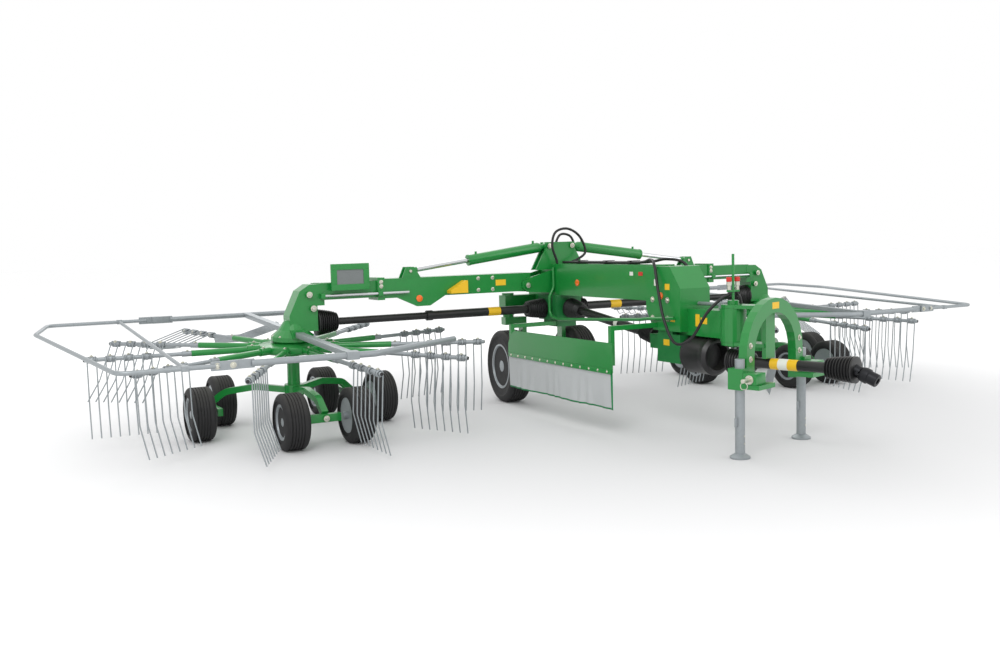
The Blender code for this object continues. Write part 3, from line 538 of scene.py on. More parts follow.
# %%
HOSE_R = 0.011
HOSE_ROUTES = {
    "hose_supply_a": [(-0.038, -2.36, 1.0704), (-0.038, -2.36, 1.055), (-0.085, -2.335, 1.03), (-0.16, -2.27, 0.93),
                      (-0.20, -2.14, 0.74), (-0.225, -1.99, 0.70), (-0.205, -1.84, 0.86), (-0.18, -1.74, 1.08),
                      (-0.15, -1.66, 1.26), (-0.08, -1.52, 1.30), (-0.035, -1.3, 1.276), (-0.025, -0.60, 1.274),
                      (-0.05, -0.22, 1.274)],
    "hose_supply_b": [(0.038, -2.36, 1.0704), (0.038, -2.36, 1.055), (0.085, -2.335, 1.03), (0.16, -2.26, 0.93),
                      (0.20, -2.13, 0.78), (0.225, -1.99, 0.74), (0.205, -1.84, 0.88), (0.18, -1.74, 1.08),
                      (0.15, -1.66, 1.26), (0.08, -1.52, 1.30), (0.035, -1.3, 1.276), (0.025, -0.60, 1.274),
                      (0.05, -0.22, 1.274)],
    "hose_lift_right": [(-0.08, -0.16, 1.2653), (-0.08, -0.16, 1.29), (-0.13, -0.17, 1.42), (-0.10, -0.18, 1.54),
                        (0.02, -0.19, 1.57), (0.14, -0.20, 1.50), (0.20, -0.20, 1.36), (0.11, -0.19, 1.29),
                        (0.085, -0.18, 1.282), (0.07, -0.18, 1.274), (0.07, -0.18, 1.2647)],
    "hose_lift_left": [(0.03, 0.06, 1.2608), (0.03, 0.06, 1.29), (0.04, 0.06, 1.41), (0.10, 0.06, 1.52),
                       (0.22, 0.07, 1.50), (0.26, 0.075, 1.38), (0.17, 0.07, 1.30), (0.11, 0.06, 1.285),
                       (0.085, 0.06, 1.275), (0.085, 0.06, 1.2628)],
}


def smooth_route(points, step):
    """Points along a Catmull-Rom curve through the given ones."""
    points = [Vector(p) for p in points]
    ends = [points[0] * 2 - points[1], *points, points[-1] * 2 - points[-2]]
    made = []
    for a, b, c, d in zip(ends, ends[1:], ends[2:], ends[3:]):
        count = max(2, round((c - b).length / step))
        for k in range(count):
            t = k / count
            made.append(0.5 * ((2 * b) + (c - a) * t + (2 * a - 5 * b + 4 * c - d) * t * t
                               + (3 * b - a - 3 * c + d) * t ** 3))
    made.append(points[-1])
    return made


def hoses():
    for name, route in HOSE_ROUTES.items():
        points = [p + Vector((0, LINE_Y, 0)) for p in smooth_route(route, 0.02)]
        made = piece("finished_" + name, sweep(points, HOSE_R, 16), HOSE, "frame")
        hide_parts(name)


hoses()

# %% [markdown]
# ## Tyres and rims
# The rotor wheels carry turf tyres, and the transport wheels larger ones of the same make-up: rounded shoulders and
# grooves that run round the crown. Since a groove runs all the way round, tyre and rim are turned from a profile,
# and no tread block has to be repeated.

# %%
TYRE_R, TYRE_W = 0.21, 0.18     # rotor tyre
ROAD_R, ROAD_W = 0.33, 0.20     # transport tyre


def tyre_mesh(radius, width, ribs):
    """A turf tyre about X with rounded shoulders and running grooves."""
    half = width / 2
    profile = []
    for k in range(9):
        a = math.pi / 2 * k / 8
        profile.append((-half + 0.035 * (1 - math.cos(a)) - 0.004, radius - 0.055 + 0.055 * math.sin(a) * 0.98))
    crown_start, crown_end = -half + 0.036, half - 0.036
    step = (crown_end - crown_start) / ribs
    for k in range(ribs):
        a = crown_start + k * step
        crown = radius - 0.002
        profile += [(a, crown), (a + step * 0.72, crown), (a + step * 0.78, crown - 0.006),
                    (a + step * 0.94, crown - 0.006)]
    profile += [(-x, r) for x, r in reversed(profile[:9])]
    inside = radius * 0.60
    rim = [(-half + 0.004, radius * 0.80), (-half + 0.010, inside + 0.008), (-half + 0.022, inside)]
    full = rim[::-1] + profile + [(-x, r) for x, r in rim]
    return turned(full, (0, 0, 0), (1, 0, 0), 64)


def rim_mesh(radius, width, boss_reach, boss_r):
    """A pressed rim with a dished disc, and the hub boss through it."""
    half = width / 2
    lip = radius * 0.60
    barrel = turned([(-half + 0.010, lip - 0.010), (-half + 0.010, lip + 0.006), (-half + 0.018, lip + 0.006),
                     (-half + 0.026, lip - 0.004), (half - 0.026, lip - 0.004), (half - 0.018, lip + 0.006),
                     (half - 0.010, lip + 0.006), (half - 0.010, lip - 0.010), (half - 0.022, lip - 0.016),
                     (half - 0.050, lip * 0.80), (half - 0.060, lip * 0.55), (half - 0.052, boss_r * 1.6),
                     (half - 0.040, boss_r * 1.5), (half - 0.026, boss_r * 1.25), (half - 0.020, boss_r * 0.9)],
                    (0, 0, 0), (1, 0, 0), 48)
    boss = pin((-boss_reach, 0, 0), (half - 0.05, 0, 0), boss_r)
    return merged([barrel, boss])

# %% [markdown]
# ### Wheels in place
# Each wheel rides on a body of its own, so that it can spin. Its middle comes from its joint, and so does the axle
# line of a transport wheel, because those are steered.

# %%
def wheel(name, body, radius, width, boss_r, bolts, facing_x, matrix):
    """Tyre, rim and bolts for one wheel; facing_x is the side its open rim faces."""
    turn = matrix if facing_x > 0 else matrix @ Matrix.Rotation(math.pi, 4, "Z")
    rubber = piece(name + "_tyre", put(tyre_mesh(radius, width, 5), turn), RUBBER, body)
    reach = width / 2 + 0.02
    piece(name + "_rim", put(rim_mesh(radius, width, reach, boss_r), turn), GALV, body)
    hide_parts(name)
    ring = [turn @ facing((width / 2 - 0.055, radius * 0.30 * math.cos(a), radius * 0.30 * math.sin(a)), (1, 0, 0))
            for a in (2 * math.pi * k / bolts for k in range(bolts))]
    repeated(name + "_bolts", bolt(0.014, 0.009), ring, ZINC, body)


def wheels():
    for side, s in SIDES:
        for number in range(1, 7):
            name = "rotor_wheel_%s_%d" % (side, number)
            at = joint_place("wheel_spin_%s_%d" % (side, number))
            low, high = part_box(name)
            centre = (low[0] + high[0]) / 2
            outward = 1 if at.x > centre else -1
            wheel(name, name, TYRE_R, TYRE_W, 0.03, 4, outward, Matrix.Translation(at))
        name = "transport_wheel_" + side
        at = joint_place("transport_wheel_spin_" + side)
        axis = Vector(JOINTS["transport_wheel_spin_" + side]["axis"])
        turn = Matrix.Translation(at) @ Matrix.Rotation(math.atan2(axis.y, axis.x), 4, "Z")
        wheel(name, name, ROAD_R, ROAD_W, 0.05, 5, s, turn)


wheels()

# %% [markdown]
# ## Rotors
# A rotor is a green carrier with eleven green inner arms, and a galvanised tine arm clamped in each. On the real
# machine a cam turns every arm as it goes round, so that its tines hang down where they rake and lie back where
# they let the hay go. The arms could be rigged one by one, but a rotor spins as one body here, so each arm is set
# at the angle that it has when the machine stands still.

# %%
ARM_COUNT = 11
ARM_START = math.radians(297.6)
ARM_REACH = 1.54        # rotor axis to the end of a tine arm
ARM_R = 0.016
HUB_ARM_REACH = 0.78    # rotor axis to the end of a green inner arm
HUB_ARM_R = 0.024
CARRIER_R = 0.27


def rotor_place(s):
    return Matrix.Translation((s * ROTOR_X, LINE_Y, ROTOR_Z)) @ Matrix.Rotation(ROTOR_TILT, 4, "X")


def swing_of(near_angle):
    """How far the cam has laid an arm's tines back."""
    degrees = math.degrees(near_angle) % 360
    if 15 < degrees < 125:
        return math.radians(75)
    if 125 <= degrees < 150:
        return math.radians(35)
    return 0.0


def arm_axes(s, number):
    """Outward and downward directions of one arm in the rotor's frame."""
    angle = ARM_START - number * 2 * math.pi / ARM_COUNT
    near_angle = math.pi - angle
    swing = swing_of(near_angle)
    out = Vector((s * math.cos(angle), math.sin(angle), 0))
    trailing = Vector((-s * math.sin(near_angle), -math.cos(near_angle), 0))
    down = Vector((0, 0, -1)) * math.cos(swing) + trailing * math.sin(swing)
    return out, down

# %% [markdown]
# ### Double spring tines
# A double tine is one spring wire: up one prong, twice round the arm, across, twice round again and down the other
# prong. The coils let it bend back when it meets a stone. A straight rod would be simpler, but the coils are what
# makes a rake's tine, so the wire is swept along its whole route with only eight sides.

# %%
TINE_PAIRS = 4
PRONG_FIRST = 1.07      # rotor axis to the innermost prong
PRONG_PITCH = 0.064
PRONG_R = 0.0048
PRONG_LENGTH = 0.58


def double_tine(mirror):
    """Two prongs from coils wound on the arm; X runs out along the arm, -Z down the prongs."""
    coil_r = ARM_R + PRONG_R + 0.001
    half = PRONG_PITCH / 2
    turns = 2.25
    wire = PRONG_R * 2.1
    lean = 0.28 * mirror
    def prong(t):
        base = Vector((t * half, mirror * coil_r, 0))
        bend = Vector((t * half, mirror * coil_r * 0.5, -PRONG_LENGTH * 0.6))
        tip = bend + Vector((0, lean, -1)).normalized() * (PRONG_LENGTH * 0.4)
        return rounded_route([tip, bend, base], 0.10, 5)
    def coil(t):
        points = []
        steps = int(turns * 14)
        for k in range(steps + 1):
            a = 2 * math.pi * turns * k / steps
            points.append(Vector((t * (half - wire * turns * k / steps), mirror * coil_r * math.cos(a),
                                  coil_r * math.sin(a))))
        return points
    one = prong(1) + coil(1)[1:]
    two = prong(-1) + coil(-1)[1:]
    return sweep(one + two[::-1], PRONG_R, 8)

# %% [markdown]
# ### The rotor put together
# Green parts, galvanised parts, caps, tines and bolts are one piece each, because each has one finish.

# %%
def rotors():
    for name, s in SIDES:
        place = rotor_place(s)
        body = "rotor_" + name
        carrier = turned([(0, 0.08), (0.0, 0.20), (0.006, CARRIER_R - 0.03), (0.02, CARRIER_R - 0.004),
                          (0.026, CARRIER_R), (0.064, CARRIER_R), (0.07, CARRIER_R - 0.006),
                          (0.076, CARRIER_R - 0.05), (0.085, 0.17), (0.085, 0.08)],
                         (0, 0, -0.045), (0, 0, 1), 56)
        green = [carrier]
        steel = []
        spots = []
        clamps = []
        caps = []
        for number in range(ARM_COUNT):
            out, down = arm_axes(s, number)
            caps.append(pin(out * (ARM_REACH - 0.002), out * (ARM_REACH + 0.005), ARM_R * 0.8))
            green.append(pin(out * (CARRIER_R - 0.02), out * HUB_ARM_REACH, HUB_ARM_R))
            green.append(pin(out * (CARRIER_R - 0.01), out * (CARRIER_R + 0.09), HUB_ARM_R + 0.008))
            steel.append(pin(out * (HUB_ARM_REACH - 0.02), out * ARM_REACH, ARM_R, edge=0.004))
            steel.append(pin(out * HUB_ARM_REACH, out * (HUB_ARM_REACH + 0.07), HUB_ARM_R - 0.002))
            across = down.cross(out).normalized()
            basis = Matrix((out, across, -down)).transposed().to_4x4()
            for pair in range(TINE_PAIRS):
                spot = out * (PRONG_FIRST + PRONG_PITCH * (2 * pair + 0.5))
                spots.append(place @ Matrix.Translation(spot) @ basis)
                clamps.append(place @ facing(spot - down * (ARM_R + 0.010), -down))
                steel.append(pin(spot - out * 0.008, spot + out * 0.008, ARM_R + 0.011))
            clamps.append(place @ facing(out * (HUB_ARM_REACH + 0.03) + Vector((0, 0, HUB_ARM_R - 0.003)), (0, 0, 1)))
            clamps.append(place @ facing(out * (CARRIER_R + 0.05) + Vector((0, 0, HUB_ARM_R + 0.007)), (0, 0, 1)))
        hub = piece(body + "_carrier_and_arms", put(merged(green), place), PAINT, body)
        piece(body + "_tine_arms", put(merged(steel), place), GALV, body)
        piece(body + "_arm_caps", put(merged(caps), place), BLACK, body)
        mirror = 1 if s < 0 else -1
        repeated(body + "_tines", double_tine(mirror), spots, GALV, body, smooth=60)
        repeated(body + "_bolts", bolt(0.015, 0.010), clamps, ZINC, body)
        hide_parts(body)
        print("%s: %d arms, %d double tines" % (body, ARM_COUNT, len(spots)))


rotors()

# %% [markdown]
# ## Shaft guards
# A drive shaft spins fast enough to catch a sleeve, so it runs inside a plastic tube that stands still, with a
# ribbed bell over each joint. The bells could get their ribs from a bump, but the ribs show at the edge, so each is
# turned from a profile that steps in and out.

# %%
GUARD_R = 0.0375        # outer tube of a shaft guard
INNER_GUARD_R = 0.0303  # the tube that slides in it
BELL_SMALL, BELL_LARGE = 0.055, 0.088
BELL_RIBS = 9


def bellows(start, direction, length, small, large, ribs, taper=True):
    """Ribbed bell: small at its start, large at its end."""
    profile = [(0, small * 0.7), (0, small)]
    for k in range(ribs):
        share = ((k + 1) / ribs) ** 0.4
        radius = small + (large - small) * (share if taper else 1)
        a = length * (k + 0.15) / ribs
        b = length * (k + 0.55) / ribs
        c = length * (k + 0.85) / ribs
        profile += [(a, radius - 0.010), (b - 0.002, radius), (b + 0.002, radius), (c, radius - 0.010)]
    profile += [(length, large), (length + 0.012, large), (length + 0.014, large * 0.8)]
    return turned(profile, start, direction, 40)

# %% [markdown]
# ### Side shafts, centre shaft and input guard
# The side shafts telescope, since the rotors slide in and out. The inner part rides on the boom and the outer part
# on the rotor head.

# %%
SHAFT_Z = 0.86


def side_shafts():
    for name, s in SIDES:
        low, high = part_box("side_shaft_inner_" + name)
        inner_x, outer_x = sorted((low[0], high[0]), key=abs)
        start = Vector((inner_x + s * 0.185, LINE_Y, SHAFT_Z))
        parts = [bellows(start, (-s, 0, 0), 0.165, BELL_SMALL, BELL_LARGE, BELL_RIBS),
                 pin(start - Vector((s * 0.02, 0, 0)), (outer_x - s * 0.03, LINE_Y, SHAFT_Z), GUARD_R),
                 turned([(0, 0.034), (0.0, 0.044), (0.05, 0.044), (0.055, 0.038)],
                        (outer_x - s * 0.055, LINE_Y, SHAFT_Z), (s, 0, 0), 32)]
        made = piece("shaft_guard_inner_" + name, merged(parts), BLACK, "boom_" + name)
        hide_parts("side_shaft_inner_" + name)
        band = Vector((inner_x + s * 0.46, LINE_Y, SHAFT_Z))
        piece("shaft_label_" + name, turned([(0, 0.0382), (0.12, 0.0382)], band, (s, 0, 0), 32), YELLOW, "boom_" + name)
        piece("shaft_yoke_inner_" + name, merged([
            block((inner_x - 0.012, LINE_Y - 0.03, SHAFT_Z - 0.03), (inner_x + 0.012, LINE_Y + 0.03, SHAFT_Z + 0.03)),
            pin((inner_x, LINE_Y, SHAFT_Z), (inner_x + s * 0.03, LINE_Y, SHAFT_Z), 0.045)]),
            ZINC, "boom_" + name)
        low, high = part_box("side_shaft_outer_" + name)
        near_x, far_x = sorted((low[0], high[0]), key=abs)
        start = Vector((far_x - s * 0.185, LINE_Y, SHAFT_Z))
        parts = [bellows(start, (s, 0, 0), 0.165, 0.050, 0.106, BELL_RIBS),
                 pin((near_x + s * 0.01, LINE_Y, SHAFT_Z), start + Vector((s * 0.02, 0, 0)), INNER_GUARD_R)]
        made = piece("shaft_guard_outer_" + name, merged(parts), BLACK, "rotor_head_" + name)
        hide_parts("side_shaft_outer_" + name)


def centre_shaft():
    low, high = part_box("centre_shaft_guard")
    rear = Vector((0, high[1] - 0.015, 0.87))
    front = Vector((0, low[1] + 0.020, 0.70))
    along = (front - rear).normalized()
    parts = [bellows(rear + along * 0.20, -along, 0.17, BELL_SMALL, BELL_LARGE, BELL_RIBS),
             bellows(front - along * 0.19, along, 0.17, 0.050, 0.072, BELL_RIBS),
             pin(rear + along * 0.18, front - along * 0.17, GUARD_R)]
    made = piece("centre_shaft_guard_finished", merged(parts), BLACK, "frame")
    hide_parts("centre_shaft_guard")
    piece("centre_shaft_band", turned([(0, 0.0383), (0.05, 0.0383)], rear + along * 0.72, along, 32), PALE, "frame")


def input_guard():
    low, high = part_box("input_guard")
    z = (low[2] + high[2]) / 2
    drum = [(0, 0.10), (0.0, 0.128), (0.012, 0.128), (0.016, 0.138), (0.022, 0.1395), (0.028, 0.136), (0.20, 0.136),
            (0.235, 0.136), (0.240, 0.1395), (0.255, 0.1395), (0.262, 0.134), (0.278, 0.118), (0.279, 0.10),
            (0.20, 0.095), (0.19, 0.03)]
    made = piece("input_guard_finished", turned(drum, (0, high[1], z), (0, -1, 0), 56), BLACK, "frame")
    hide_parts("input_guard")


side_shafts()
centre_shaft()
input_guard()

# %% [markdown]
# ### The input shaft
# The shaft that takes the tractor's power lies on the headstock, and turns with it. It is built straight ahead of
# the yaw pin and then turned by the angle at which the headstock stands. Its bare end is a forged yoke that droops
# a little.

# %%
PTO_Z = 0.585


def headstock_place():
    return Matrix.Translation((0, YAW.y, 0)) @ Matrix.Rotation(REST_YAW, 4, "Z")


def input_shaft():
    place = headstock_place()
    ahead = Vector((0, -1, 0))
    z = PTO_Z
    parts = [bellows((0, -0.17, z), -ahead, 0.18, BELL_SMALL, BELL_LARGE, BELL_RIBS),
             pin((0, -0.15, z), (0, -0.72, z), 0.0370),
             bellows((0, -0.70, z), ahead, 0.19, BELL_SMALL, BELL_LARGE, BELL_RIBS)]
    made = piece("input_shaft_guard", put(merged(parts), place), BLACK, "headstock")
    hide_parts("pto_shaft")
    piece("input_shaft_band", put(merged([turned([(0, 0.0383), (0.20, 0.0383)], (0, -0.30, z), ahead, 32)]), place),
          YELLOW, "headstock")
    piece("input_shaft_label", put(turned([(0, 0.0388), (0.07, 0.0388)], (0, -0.36, z), ahead, 32), place),
          PALE, "headstock")
    droop = Vector((0, -0.17, -0.07)).normalized()
    start = Vector((0, -0.89, z))
    yoke = [pin(start - droop * 0.02, start + droop * 0.045, 0.040),
            turned([(0.05, 0.030), (0.052, 0.045), (0.07, 0.050), (0.10, 0.050), (0.105, 0.043), (0.16, 0.043),
                    (0.165, 0.038), (0.165, 0.020), (0.13, 0.019)], start, droop, 40),
            pin(start + droop * 0.035 + Vector((0.052, 0, 0)), start + droop * 0.035 - Vector((0.052, 0, 0)), 0.013)]
    piece("input_shaft_yoke", put(merged(yoke), place), FORGED, "headstock")


input_shaft()
print("input shaft turned by %.1f degrees" % math.degrees(REST_YAW))

# %% [markdown]
# ## Guard hoops
# Hoops keep people away from the tines. A thick galvanised tube runs ahead of each rotor and another behind it, on
# straight arms from the rotor head, and a thinner one outside it folds up for the road. All are bent tubes, so they
# are swept along routes, and the folding ones ride on a body of their own.

# %%
HOOP_Z = 0.115          # above the rotor's plane
HOOP_R = 0.0225
RAIL_R = 0.015
HOOP_FRONT = -1.34
HOOP_REAR = 1.40
FOLD_U = 0.80           # the fold line, out from the rotor axis


def guards():
    h = HOOP_Z
    end = FOLD_U - 0.12
    for name, s in SIDES:
        place = rotor_place(s)
        body = "rotor_head_" + name
        front = [pipe([(-s * 0.95, -0.98, h), (-s * 0.17, HOOP_FRONT - 0.02, h), (s * end, HOOP_FRONT, h)],
                      HOOP_R, 0.16, 20),
                 block((-0.03, HOOP_FRONT - 0.02, h - 0.02), (0.03, -0.181, h + 0.02), 0.004),
                 block((-0.045, HOOP_FRONT - 0.045, h - 0.028), (0.045, HOOP_FRONT + 0.03, h + 0.028), 0.004)]
        low, high = span(s, end - 0.02, FOLD_U + 0.03)
        front.append(block((low, HOOP_FRONT - 0.006, h - 0.03), (high, HOOP_FRONT + 0.006, h + 0.03), 0.002))
        made = piece("hoop_front_" + name, put(merged(front), place), GALV, body)
        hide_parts("guard_front_" + name)
        rear = [pipe([(-s * 0.55, HOOP_REAR, h), (s * end, HOOP_REAR, h)], HOOP_R, 0.1, 20),
                block((-0.03, 0.181, h - 0.02), (0.03, HOOP_REAR + 0.01, h + 0.02), 0.004),
                block((low, HOOP_REAR - 0.006, h - 0.03), (high, HOOP_REAR + 0.006, h + 0.03), 0.002)]
        made = piece("hoop_rear_" + name, put(merged(rear), place), GALV, body)
        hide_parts("guard_rear_" + name)
        fold = "guard_fold_" + name
        y_front = HOOP_FRONT - 0.0126
        y_rear = HOOP_REAR + 0.0126
        rails = [pipe([(s * (FOLD_U + 0.08), y_front, h), (s * 1.5, y_front, h), (s * 1.80, 0.84, h),
                       (s * 1.67, y_rear, h), (s * (FOLD_U + 0.08), y_rear, h)], RAIL_R, 0.09, 18),
                 pin((s * 1.1, y_front, h), (s * 1.1, y_rear, h), 0.013)]
        for y in (y_front, y_rear):
            low, high = span(s, FOLD_U - 0.03, FOLD_U + 0.14)
            rails.append(block((low, y - 0.006, h - 0.03), (high, y + 0.006, h + 0.03), 0.002))
            collar = s * 1.1
            rails.append(block((collar - 0.022, y - 0.018, h - 0.018), (collar + 0.022, y + 0.018, h + 0.018)))
        made = piece("hoop_fold_" + name, put(merged(rails), place), GALV, fold)
        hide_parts("guard_fold_" + name)
        heads = []
        for y, t in ((y_front - 0.006, -1), (y_rear + 0.006, 1)):
            heads.append(place @ facing((s * FOLD_U, y, h), (0, t, 0)))
            heads.append(place @ facing((s * (FOLD_U + 0.10), y, h), (0, t, 0)))
        repeated("hoop_bolts_" + name, bolt(0.022, 0.012), heads, ZINC, fold)


guards()

# %% [markdown]
# ## Undercarriages
# Under each rotor, three arched arms reach from the centre post to rocking bars, and each bar carries a pair of
# wheels over the bumps. The arms are box section, so the same sweep is given four sides and turned by 45 degrees.

# %%
def undercarriages():
    front_y, near, far = -0.72, (0.74, 0.04), (0.44, 0.64)
    wheel_z = TYRE_R
    mid_x, mid_y = (near[0] + far[0]) / 2, (near[1] + far[1]) / 2
    for name, s in SIDES:
        place = Matrix.Translation((s * ROTOR_X, LINE_Y, 0))
        post_end = rotor_place(s) @ Vector((0, 0, -0.3003))
        start = Vector((0, post_end.y - LINE_Y, post_end.z))
        down = Vector((0, math.sin(ROTOR_TILT), -math.cos(ROTOR_TILT)))
        parts = [turned([(0, 0.05), (0.0, 0.072), (0.004, 0.075), (0.096, 0.075), (0.10, 0.071), (0.10, 0.03)],
                        start, down, 40)]
        centre = start + Vector((0, 0, -0.05))
        studs = []
        for x, y in ((0, front_y), (mid_x, mid_y), (-mid_x, mid_y)):
            end = Vector((x, y, wheel_z))
            rise = Vector((0, 0, 0.10))
            parts.append(pipe([centre, centre.lerp(end, 0.45) + rise * 0.9, centre.lerp(end, 0.82) + rise,
                               end + Vector((0, 0, 0.03))], 0.035, 0.16, 4, math.pi / 4))
        parts.append(block((-0.12, front_y - 0.03, wheel_z - 0.03), (0.12, front_y + 0.03, wheel_z + 0.03), 0.005))
        parts.append(pin((0, front_y - 0.05, wheel_z), (0, front_y + 0.05, wheel_z), 0.022))
        for t in (-1, 1):
            a, b = span(t, mid_x - 0.02, mid_x + 0.02)
            parts.append(block((a, near[1] - 0.03, wheel_z - 0.03), (b, far[1] + 0.03, wheel_z + 0.03), 0.005))
            parts.append(pin((t * (mid_x - 0.045), mid_y, wheel_z), (t * (mid_x + 0.045), mid_y, wheel_z), 0.022))
            studs.append(place @ facing((t * (mid_x + 0.045), mid_y, wheel_z), (t, 0, 0)))
        studs.append(place @ facing((0, front_y - 0.05, wheel_z), (0, -1, 0)))
        body = "rotor_head_" + name
        made = piece("undercarriage_finished_" + name, put(merged(parts), place), PAINT, body)
        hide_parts("undercarriage_" + name)
        repeated("undercarriage_bolts_" + name, bolt(0.024, 0.014), studs, ZINC, body)
        print("undercarriage %s: %d pins" % (name, len(studs)))


undercarriages()

# %% [markdown]
# ## The curtain
# The swath curtain is a coated cloth clamped under a green steel panel, with a green hem at its foot. A waved plane
# would look like sheet metal, and cloth that is dropped flat has no folds at all. So the grid starts with shallow
# folds that deepen towards its foot, and a few steps of cloth simulation then let its weight work on them.

# %%
CLOTH_STEPS = 30
CLOTH_ACROSS, CLOTH_ROWS = 120, 22


def folded_grid(low, high):
    """A grid over the CAD sheet's box, with folds that deepen towards its foot."""
    x = (low.x + high.x) / 2
    length, height = high.y - low.y, high.z - low.z
    bm = bmesh.new()
    grid = []
    for j in range(CLOTH_ROWS + 1):
        row = []
        for i in range(CLOTH_ACROSS + 1):
            y = low.y + length * i / CLOTH_ACROSS
            drop = j / CLOTH_ROWS
            fold = 0.022 * drop * math.sin(9.0 * y + 0.6) + 0.010 * drop * math.sin(23.0 * y)
            row.append(bm.verts.new((x + fold, y, high.z - height * drop)))
        grid.append(row)
    for j in range(CLOTH_ROWS):
        for i in range(CLOTH_ACROSS):
            bm.faces.new((grid[j][i], grid[j][i + 1], grid[j + 1][i + 1], grid[j + 1][i]))
    mesh = bpy.data.meshes.new("curtain_cloth")
    bm.to_mesh(mesh)
    bm.free()
    return mesh

# %% [markdown]
# ### Letting it hang
# The cloth is pinned along its top two rows, where the clamp holds it.

# %%
def hung_mesh(mesh):
    cloth = bpy.data.objects.new("curtain_cloth_work", mesh)
    bpy.context.scene.collection.objects.link(cloth)
    pins = cloth.vertex_groups.new(name="pins")
    pins.add(list(range(2 * (CLOTH_ACROSS + 1))), 1.0, "REPLACE")
    step = cloth.modifiers.new("cloth", "CLOTH")
    settings = step.settings
    settings.quality = 6
    settings.mass = 0.6
    settings.tension_stiffness = 60
    settings.compression_stiffness = 60
    settings.shear_stiffness = 30
    settings.bending_stiffness = 4
    settings.vertex_group_mass = "pins"
    scene = bpy.context.scene
    step.point_cache.frame_end = CLOTH_STEPS
    for number in range(1, CLOTH_STEPS + 1):
        scene.frame_set(number)
    graph = bpy.context.evaluated_depsgraph_get()
    hung = bpy.data.meshes.new_from_object(cloth.evaluated_get(graph))
    scene.frame_set(1)
    bpy.data.objects.remove(cloth)
    return hung

# %% [markdown]
# ### The finished cloth
# The hem is the same cloth in another colour, so it is a second material on the last row and the first two columns.
# A solidify modifier gives the cloth its thickness, and its foot is kept just clear of the ground.

# %%
FOOT_CLEAR = 0.012
CLOTH_THICK = 0.002


def curtain_cloth():
    low, high = (Vector(c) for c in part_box("curtain_sheet"))
    length, height = high.y - low.y, high.z - low.z
    hung = hung_mesh(folded_grid(low, high))
    lift = max(FOOT_CLEAR - min(v.co.z for v in hung.vertices), 0.0)
    for vert in hung.vertices:
        vert.co.z += lift * (high.z - vert.co.z) / height
    sheet = piece("curtain_cloth", hung, FABRIC, "frame", smooth=60)
    sheet.data.materials.append(HEM)
    for face in sheet.data.polygons:
        row, column = divmod(face.index, CLOTH_ACROSS)
        face.material_index = int(row == CLOTH_ROWS - 1 or column < 2)
    thick = sheet.modifiers.new("thickness", "SOLIDIFY")
    thick.thickness = CLOTH_THICK
    thick.offset = 0.0
    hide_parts("curtain_sheet")
    print("curtain: %.2f m long, %.2f m high" % (length, height))


curtain_cloth()

# %% [markdown]
# ### Its clamp
# A steel strip with a row of bolts holds the cloth's top edge to the panel.

# %%
def curtain_clamp():
    low, high = (Vector(c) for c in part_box("curtain_sheet"))
    panel = Vector(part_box("curtain_panel")[0])
    strip = block((panel.x - 0.006, low.y + 0.01, panel.z - 0.012),
                  (panel.x - 0.0005, high.y - 0.01, panel.z + 0.022), 0.001)
    piece("curtain_clamp_strip", strip, PAINT, "frame")
    count = 13
    heads = []
    for k in range(count):
        y = low.y + 0.06 + (high.y - low.y - 0.12) * k / (count - 1)
        heads.append(facing((panel.x - 0.006, y, panel.z + 0.005), (-1, 0, 0)))
    repeated("curtain_bolts", bolt(0.011, 0.006), heads, ZINC, "frame")
    print("curtain clamp: %d bolts" % count)


curtain_clamp()

# %% [markdown]
# ## The kept solids
# The beam, booms, rotor heads and castings have the right shape already. A sharp CAD edge looks like paper, because
# a real edge is rounded by the saw, the weld and the paint, so each gets its finish and a small bevel on its sharp
# edges. The tube and the cylinders get none, since a bevel would follow their facets.

# %%
def keep(name, look, edge=0.003):
    """Keep a CAD node's shape, with its real finish and softened edges."""
    kept = nodes[name]
    for slot in kept.material_slots:
        slot.material = look
    if edge:
        soft = kept.modifiers.new("edges", "BEVEL")
        soft.width = edge
        soft.segments = 2
        soft.limit_method = "ANGLE"
        soft.angle_limit = math.radians(32)


KEPT = {
    "main_frame": (PAINT, 0.004), "drive_housing": (CAST, 0.010), "centre_gearbox": (CAST, 0.012),
    "guard_tube": (PAINT, 0), "steering_rod": (GALV, 0.001), "curtain_panel": (PAINT, 0.001),
    "curtain_hanger_front": (PAINT, 0.003), "curtain_hanger_rear": (PAINT, 0.003),
    "headstock_arch": (PAINT, 0.004), "sign_board": (BOARD, 0.001),
}
for side, _ in SIDES:
    KEPT["boom_" + side] = (PAINT, 0.004)
    KEPT["rotor_head_" + side] = (PAINT, 0.004)
    KEPT["steering_knuckle_" + side] = (PAINT, 0.004)
    KEPT["wheel_chock_" + side] = (YELLOW, 0.004)
    KEPT["lift_barrel_" + side] = (PAINT, 0)
    KEPT["lift_rod_" + side] = (CHROME, 0)
    KEPT["parking_leg_" + side] = (GALV, 0.002)
for node_name, (node_look, node_edge) in KEPT.items():
    keep(node_name, node_look, node_edge)
print("kept solids:", len(KEPT))

# %% [markdown]
# ## Lift cylinders
# A cylinder on each side lifts the boom: a painted barrel hinged on the mast, a chromed rod that slides in it, and
# an eye pinned to the boom. The CAD solids come in coarse facets, and chrome shows every one, so they are turned
# anew.

# %%
MAST = Vector((0.12, -0.05, 1.42))
LUG = Vector((1.47, -0.05, 1.245))


